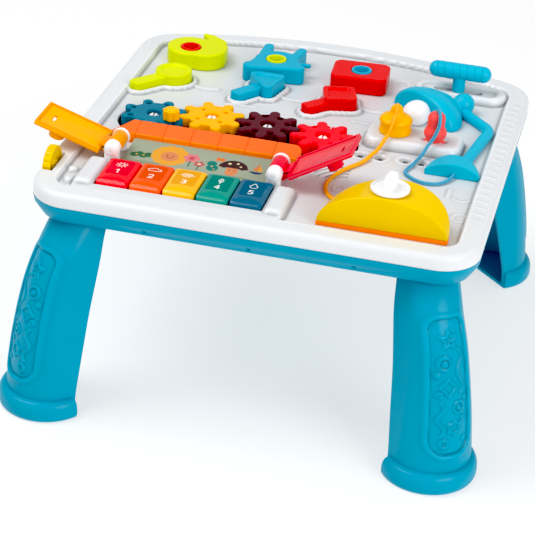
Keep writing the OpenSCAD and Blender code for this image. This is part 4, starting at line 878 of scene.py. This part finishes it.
# %% [markdown]
# The piano has five crowned keys, which keep their exact solids with fat round edges. On the
# real toy a thin matt film on each key carries a small sign and a number, and a printed card
# lies behind the keys. All six are made alike: a fine grid is laid on the part from above with
# a Shrinkwrap modifier, gets a little thickness, and every vertex is given the colour of the
# print there. The print is drawn with the same distances as the shell: discs, bars and bows.

# %% Printing on a film
INK_EDGE, LIFT, FILM_THICK = 0.35, 0.04 * MM, 0.1 * MM


def painted(base, shapes):
    """Colours of a print: shapes are (colour, distances) pairs over the base, later ones on top."""
    colour = np.tile(np.array(base[:3]), (len(shapes[0][1]), 1))
    for paint, distance in shapes:
        cover = np.clip(distance / INK_EDGE + 0.5, 0, 1)[:, None]
        colour = colour * (1 - cover) + np.array(paint[:3]) * cover
    return colour


def stroke(x, y, points, width):
    """A line of bars through points."""
    return union([bar(x, y, *a, *b, width / 2) for a, b in zip(points, points[1:])])


def printed_sheet(name, corners, cell, edge, picture, target, material, body, slot):
    """A thin film laid on a target from above; edge and picture are functions of place in mm."""
    sheet = flat_grid(*corners, cell, z=0.3)
    bm = bmesh.new()
    bm.from_mesh(sheet.data)
    bm.verts.ensure_lookup_table()
    co = points_of(sheet) / MM
    outside = np.nonzero(edge(co[:, 0], co[:, 1]) < 0)[0]
    bmesh.ops.delete(bm, geom=[bm.verts[i] for i in outside], context="VERTS")
    bm.to_mesh(sheet.data)
    apply_modifier(sheet, "SHRINKWRAP", target=target, wrap_method="PROJECT", use_project_z=True,
                   use_negative_direction=True, use_positive_direction=False, offset=LIFT)
    apply_modifier(sheet, "SOLIDIFY", thickness=FILM_THICK, offset=1)
    co = points_of(sheet) / MM
    ink = np.ones((len(co), 4))
    ink[:, :3] = picture(co[:, 0], co[:, 1])
    sheet.data.attributes.new("ink", "FLOAT_COLOR", "POINT").data.foreach_set("color", ink.ravel())
    print(name, "has", len(co), "printed vertices, up to", co[:, 2].max().round(1), "mm")
    return settle(sheet, name, material, body, slot=slot)


def printed_film(name, gloss_loss, **plain):
    """The film's material: its colour is the print, its surface that of the mouldings."""
    material = plastic(name, (0.8, 0.8, 0.8, 1), gloss_loss, 0.01, 0.03, **plain)
    ink = node(material.node_tree, "Attribute", {"attribute_name": "ink"})
    return recoloured(material, ink.outputs["Color"])

# %% Keys
keys = [melted(f"piano_key_{i + 1}", KEY_PLASTICS[i], f"piano_key_{i + 1}", 0.7, 26) for i in range(5)]

# %% Numbers and signs, drawn with strokes
NUMBERS = (((0.1, 0.78), (0.36, 1), (0.36, 0)),
           ((0, 0.75), (0.1, 0.95), (0.3, 1), (0.53, 0.93), (0.6, 0.72), (0.5, 0.5), (0, 0), (0.62, 0)),
           ((0.02, 0.9), (0.3, 1), (0.56, 0.86), (0.5, 0.62), (0.24, 0.53), (0.55, 0.42), (0.6, 0.2),
            (0.4, 0.01), (0.15, 0.02), (0, 0.15)),
           ((0.44, 0), (0.44, 1), (0, 0.3), (0.62, 0.3)),
           ((0.56, 1), (0.1, 1), (0.05, 0.56), (0.3, 0.63), (0.55, 0.5), (0.6, 0.26), (0.45, 0.04),
            (0.2, 0), (0, 0.12)))
LINE = 0.7


def key_sign(i, x, y):
    """A small line drawing for each key: sun, cloud, shell, leaf and drop, about the origin."""
    def bows(*rows):
        return [bow(x, y, *row, LINE) for row in rows]

    def bars(*rows):
        return [bar(x, y, *row, LINE / 2) for row in rows]

    if i == 0:
        rays = bars(*((*polar(3.4, a), *polar(5, a)) for a in (math.tau * k / 9 for k in range(9))))
        return union(rays + [LINE / 2 - abs(np.hypot(x, y) - 2.3)])
    if i == 1:
        return union(bows((-3.4, 0, 2.2, 80, 280), (0, 1, 3, 10, 160), (3.8, 0, 2, -90, 100))
                     + bars((-3.4, -2.2, 3.8, -2.2)))
    if i == 2:
        return union(bows(*((0, -2.5, r, 15, 165) for r in (2, 3.8, 5.6))) + bars((-3, -3.2, 3, -3.2)))
    if i == 3:
        return union(bows((-3, 0, 5.2, -50, 50), (3.7, 0, 5.2, 130, 230)) + bars((0.3, -6, 0.3, 3)))
    return union(bows((0, -1.6, 3.2, 150, 390)) + bars((-2.8, 0, 0, 4.8), (2.8, 0, 0, 4.8)))

# %% Films on the keys
FILM = printed_film("key_film", 0.4, Specular_IOR_Level=0.1)
FILM_COLOURS = [tint(224, 8, 46), tint(222, 76, 12), tint(226, 158, 34), tint(4, 126, 114), tint(2, 92, 124)]
WHITE_INK = tint(246, 246, 240)
NUMBER_SIZE, SIGN_SIZE = 7.5, 1.15
for i in range(5):
    middle = PIANO_X + KEY_PITCH * (i + 0.5)

    def film_edge(x, y):
        return panel(x, y, middle - 11.6, -163.5, middle + 11.6, -130.5, 3.5)

    def film_print(x, y):
        u, v = (x - middle + 2.2) / NUMBER_SIZE, (y + 160.5) / NUMBER_SIZE
        number = stroke(u, v, NUMBERS[i], 0.15) * NUMBER_SIZE
        sign = key_sign(i, (x - middle) / SIGN_SIZE, (y + 142) / SIGN_SIZE) * SIGN_SIZE
        return painted(FILM_COLOURS[i], [(WHITE_INK, number), (WHITE_INK, sign)])

    printed_sheet(f"key_film_{i + 1}", ((middle - 12, -164), (middle + 12, -130)), 0.4, film_edge, film_print,
                  keys[i], FILM, f"piano_key_{i + 1}", f"piano_key_{i + 1}")

# %% [markdown]
# The card behind the keys is printed in soft flat colours on sage green: a smiling sun over a
# hill, flowers, a caterpillar, a mushroom, a fish and a little boat.

# %% Picture card
SAGE, DARK_SAGE, AMBER, PEACH, ROSE, PINK = (tint(*c) for c in (
    (168, 178, 156), (146, 160, 134), (242, 172, 62), (228, 146, 96), (206, 84, 96), (232, 132, 134)))
LEAF, SEA, UMBER, NAVY, FLAME, CREAM = (tint(*c) for c in (
    (52, 116, 78), (24, 132, 124), (74, 44, 46), (34, 62, 112), (240, 120, 44), (240, 222, 178)))
CARD_X, CARD_Y, INK_STRENGTH = -151, -122, 0.84


def picture_edge(x, y):
    return panel(x, y, -150.4, -121.6, -2.6, -71.8, 1)


def picture_print(x, y):
    """The garden, drawn in mm from the card's near left corner, from the back to the front."""
    u, v = x - CARD_X, y - CARD_Y
    shapes = []

    def discs(colour, *rows):
        shapes.extend((colour, disc(u, v, *row)) for row in rows)

    def bars(colour, *rows):
        shapes.extend((colour, bar(u, v, *row)) for row in rows)

    def part_of(colour, *distances):
        shapes.append((colour, np.minimum.reduce(distances)))

    def petals(colour, cx, cy, r, count):
        turns = (math.tau * k / count for k in range(count))
        discs(colour, *((*polar(r, a, cx, cy), 0.55 * r) for a in turns))

    discs(DARK_SAGE, (24, -70, 80), (118, -96, 104))
    discs(LEAF, *((9 + 4.6 * k, 20 + (k % 2) * 2.4, 4.4) for k in range(4)))
    discs(AMBER, (11, 21, 1.2), (18, 21, 1.2))
    discs(UMBER, (24.2, 23.6, 0.8))
    petals(AMBER, 44, 27, 12.5, 11)
    discs(AMBER, (44, 27, 12))
    discs(PEACH, (44, 25.5, 9))
    discs(UMBER, (41, 27, 0.9), (47.4, 27, 0.9))
    part_of(UMBER, bow(u, v, 44.2, 25.5, 3, 210, 330, 0.8))
    petals(PINK, 66, 29, 5.5, 6)
    discs(ROSE, (66, 29, 3))
    bars(LEAF, (66, 13, 66, 23, 0.7))
    petals(ROSE, 76, 20, 3.6, 5)
    discs(CREAM, (76, 20, 1.8))
    bars(LEAF, (76, 9, 76, 17, 0.6))
    discs(SEA, (88, 25, 5), (90, 17, 6))
    discs(AMBER, (89, 20, 1.3), (92, 15, 1))
    part_of(PEACH, panel(u, v, 104, 8, 116, 26, 5))
    part_of(UMBER, disc(u, v, 110, 22, 15), v - 22.5)
    discs(UMBER, (100.5, 25, 4), (119.5, 25, 4))
    discs(CREAM, (105, 30, 1.8), (113, 32, 1.5), (117, 27, 1.3))
    discs(UMBER, (107.4, 18, 0.8), (112.6, 18, 0.8))
    discs(FLAME, (96, 35, 3))
    bars(FLAME, (91, 37, 93, 35, 1.4), (91, 33, 93, 35, 1.4))
    part_of(NAVY, disc(u, v, 134, 27, 9), 22 - v)
    bars(FLAME, (134, 23, 134, 38, 0.6))
    part_of(AMBER, disc(u, v, 130, 26, 9), u - 134.6, v - 24)
    part_of(PEACH, disc(u, v, 138, 27, 8), 133.4 - u, v - 24)
    return INK_STRENGTH * painted(SAGE, shapes)


printed_sheet("picture_card", ((CARD_X, CARD_Y), (-2, -71)), 0.45, picture_edge, picture_print,
              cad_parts["picture_panel"], printed_film("printed_card", 0.3), "table", "picture_panel")

# %% [markdown]
# Gears, toys, plugs and the lamp are chunky toys whose edges are fat and round all over. They
# are melted: rebuilt from small cells and smoothed until the edges have the right radius. A
# part with no body named here rides on the body of its own name.

# %% Melted toys: part, body, look, cell in mm and smoothing passes
for part, body, look, cell, passes in (
        ("gear_teal", None, "deep_teal", 0.65, 15), ("gear_yellow", None, "amber_gear", 0.65, 15),
        ("gear_maroon", None, "maroon", 0.65, 15), ("gear_red", None, "ruby_gear", 0.65, 15),
        ("gear_crank_knob", "gear_teal", "crank_knob", 0.45, 5), ("round_block", None, "lime", 0.8, 22),
        ("winged_block", None, "sky_blue", 0.8, 22), ("square_block", None, "scarlet", 0.8, 22),
        ("round_toy_key", None, "lime", 0.65, 14), ("triangle_toy_key", None, "sky_blue", 0.65, 14),
        ("square_toy_key", None, "scarlet", 0.65, 14), ("yellow_plug", None, "amber_plug", 0.5, 4),
        ("coral_plug", None, "coral_plug", 0.45, 8), ("lamp_shade", "table", "turquoise_lamp", 0.9, 10),
        ("lamp_bulb", "table", "white_knob", 0.7, 4), ("lamp_arm", "table", "turquoise_lamp", 0.7, 8),
        ("lamp_base", "table", "turquoise_lamp", 0.7, 7), ("half_moon_body", "table", "half_moon", 0.7, 12),
        ("turning_knob", None, "white_knob", 0.55, 5), ("slide_handle", None, "turquoise_lamp", 0.36, 1)):
    melted(part, PLASTICS[look], body or part, cell, passes)

# %% [markdown]
# The other mouldings keep their exact solids with a small rounded edge. The doors are flat
# trays with a thin lip, so a mask in their material follows the height over the leaf: the lip
# is deeper in colour than the paler face inside it.

# %% Doors with a paler face inside the lip
HINGE_Z, LEAF_LEVEL, LEAF_THICK, BARREL_REACH = 246, -7.6, 1.6, 12


def leaf_plastic(name, lip, face, hinge_x, degrees, side):
    """Plastic that changes from face to lip over the plane of a leaf, open by degrees to one side."""
    a = math.radians(degrees)
    along, over = Vector((side * math.cos(a), 0, math.sin(a))), Vector((-side * math.sin(a), 0, math.cos(a)))
    material = plastic(name, lip, 0.27, 0.04)
    tree = material.node_tree
    from_hinge = node(tree, "VectorMath", {"operation": "SUBTRACT"}, i0=own_place(tree),
                      i1=Vector((hinge_x, 0, HINGE_Z)) * MM).outputs[0]
    height, reach = (node(tree, "VectorMath", {"operation": "DOT_PRODUCT"}, i0=from_hinge,
                          i1=way).outputs["Value"] for way in (over, along))
    lip_mask = mapped(tree, height, From_Min=LEAF_LEVEL * MM, From_Max=(LEAF_LEVEL + 0.5) * MM)
    outside = maths(tree, "LESS_THAN", height, (LEAF_LEVEL - LEAF_THICK) * MM)
    barrel = maths(tree, "LESS_THAN", reach, BARREL_REACH * MM)
    mask = maths(tree, "MAXIMUM", maths(tree, "MAXIMUM", lip_mask, outside), barrel)
    return recoloured(material, blend_colour(tree, mask, face, lip))


PLASTICS["yellow_door"] = leaf_plastic("yellow_door_paler_face", tint(248, 158, 0), tint(252, 178, 0),
                                       -159, 17.7, -1)
PLASTICS["coral_door"] = leaf_plastic("coral_door_paler_face", tint(240, 24, 62), tint(238, 74, 84), 6, 30.8, 1)

# %% [markdown]
# The roof is one orange moulding too; its sloping top is painted a paler, duller orange than its front, a
# painted sheen of the light from above.

# %% Roof
ORANGE = tint(255, 130, 18)
roof = PLASTICS["roof"] = plastic("roof_orange_plastic", ORANGE, 0.3, 0.03)
# Painted sheen: the sloping top gets a paler orange than the front faces.
slope = maths(roof.node_tree, "GREATER_THAN", own_place(roof.node_tree, "Y"), -69.6 * MM)
recoloured(roof, blend_colour(roof.node_tree, slope, ORANGE, tint(240, 112, 50)))

# %% Mouldings with small rounded edges: part, body, look, edge in mm and segments
for part, body, look, edge, segments in (
        ("roof_panel", "table", "roof", 0.8, 3), ("door_left", None, "yellow_door", 0.5, 3),
        ("door_right", None, "coral_door", 0.5, 3), ("door_hinge_posts", "table", "white_knob", 0.7, 3),
        ("gear_axles", "table", "white_knob", 0.3, 2), ("half_moon_base", "table", "half_moon_base", 0.5, 2),
        ("bottom_shell", "table", "turquoise", 0.7, 2), ("thumbwheel", None, "thumbwheel", 0.6, 2),
        ("round_block_ring", "round_block", "ring_red", 0.5, 2),
        ("winged_block_ring", "winged_block", "lime", 0.5, 2),
        ("square_block_ring", "square_block", "ring_blue", 0.5, 2)):
    soft_edged(part, PLASTICS[look], body or part, edge, segments)

# %% [markdown]
# The parts inside, and the small steel parts, keep their exact shapes and get their finish.

# %% Finish of the exact parts
PLAIN = {"leg_screws": ZINC, "shell_screws": ZINC, "battery_door_screw": ZINC, "batteries": CELL,
         "battery_contacts": BRASS, "speaker": PAPER_CONE, "circuit_board": BOARD,
         "key_contact_pads": RUBBER, "key_hinge_rod": STEEL, "door_pins": STEEL, "thumbwheel_axle": STEEL,
         "battery_door": PLASTICS["turquoise"], "power_switch": PLASTICS["black_inner"],
         "gear_tray": PLASTICS["black_inner"], "picture_panel": PLASTICS["card_edge"]}
for part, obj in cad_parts.items():
    if not obj.hide_render:
        obj.data.materials.clear()
        obj.data.materials.append(PLAIN.pop(part))
print("finishes left over:", PLAIN or "none")

# %% [markdown]
# The studio is a wide pale floor, one large soft light over the left shoulder, another from
# the front right, and an even pale sky. Large lights give the long soft highlights that show
# the roundness of glossy plastic.

# %% Floor and light
WHITE = (1, 1, 1, 1)
bpy.ops.mesh.primitive_plane_add(size=14, location=(0, 0, -0.3 * MM))
floor = bpy.context.object
floor.name = "studio_floor"
paper, tree, principled = shader("white_paper_floor", Roughness=0.75, Emission_Color=WHITE,
                                 Emission_Strength=0.6)
cloud = noise(tree, own_place(tree), Scale=1.5, Detail=2.0)
feed(principled, Base_Color=blend_colour(tree, cloud, (0.36, 0.36, 0.36, 1), (0.39, 0.39, 0.39, 1)))
floor.data.materials.append(paper)


def soft_light(name, place, aim, size, power):
    """A square area light at a place, turned towards a point."""
    bpy.ops.object.light_add(type="AREA", location=place)
    light = bpy.context.object
    light.name = name
    light.rotation_euler = (Vector(aim) - Vector(place)).to_track_quat("-Z", "Y").to_euler()
    light.data.size, light.data.energy = size, power


soft_light("key_light", (-1.2, -0.4, 2.4), (0, 0, 0.2), 1.4, 34)
soft_light("fill_light", (2.0, -1.6, 1.3), (0, 0, 0.15), 1.5, 34)
world = bpy.data.worlds.new("pale_sky")
world.use_nodes = True
feed(world.node_tree.nodes["Background"], Color=WHITE, Strength=0.6)
bpy.context.scene.world = world
view = bpy.context.scene.view_settings
view.view_transform = "Standard"
view.use_curve_mapping = True
view.curve_mapping.black_level = (0.03, 0.03, 0.03)
view.curve_mapping.update()
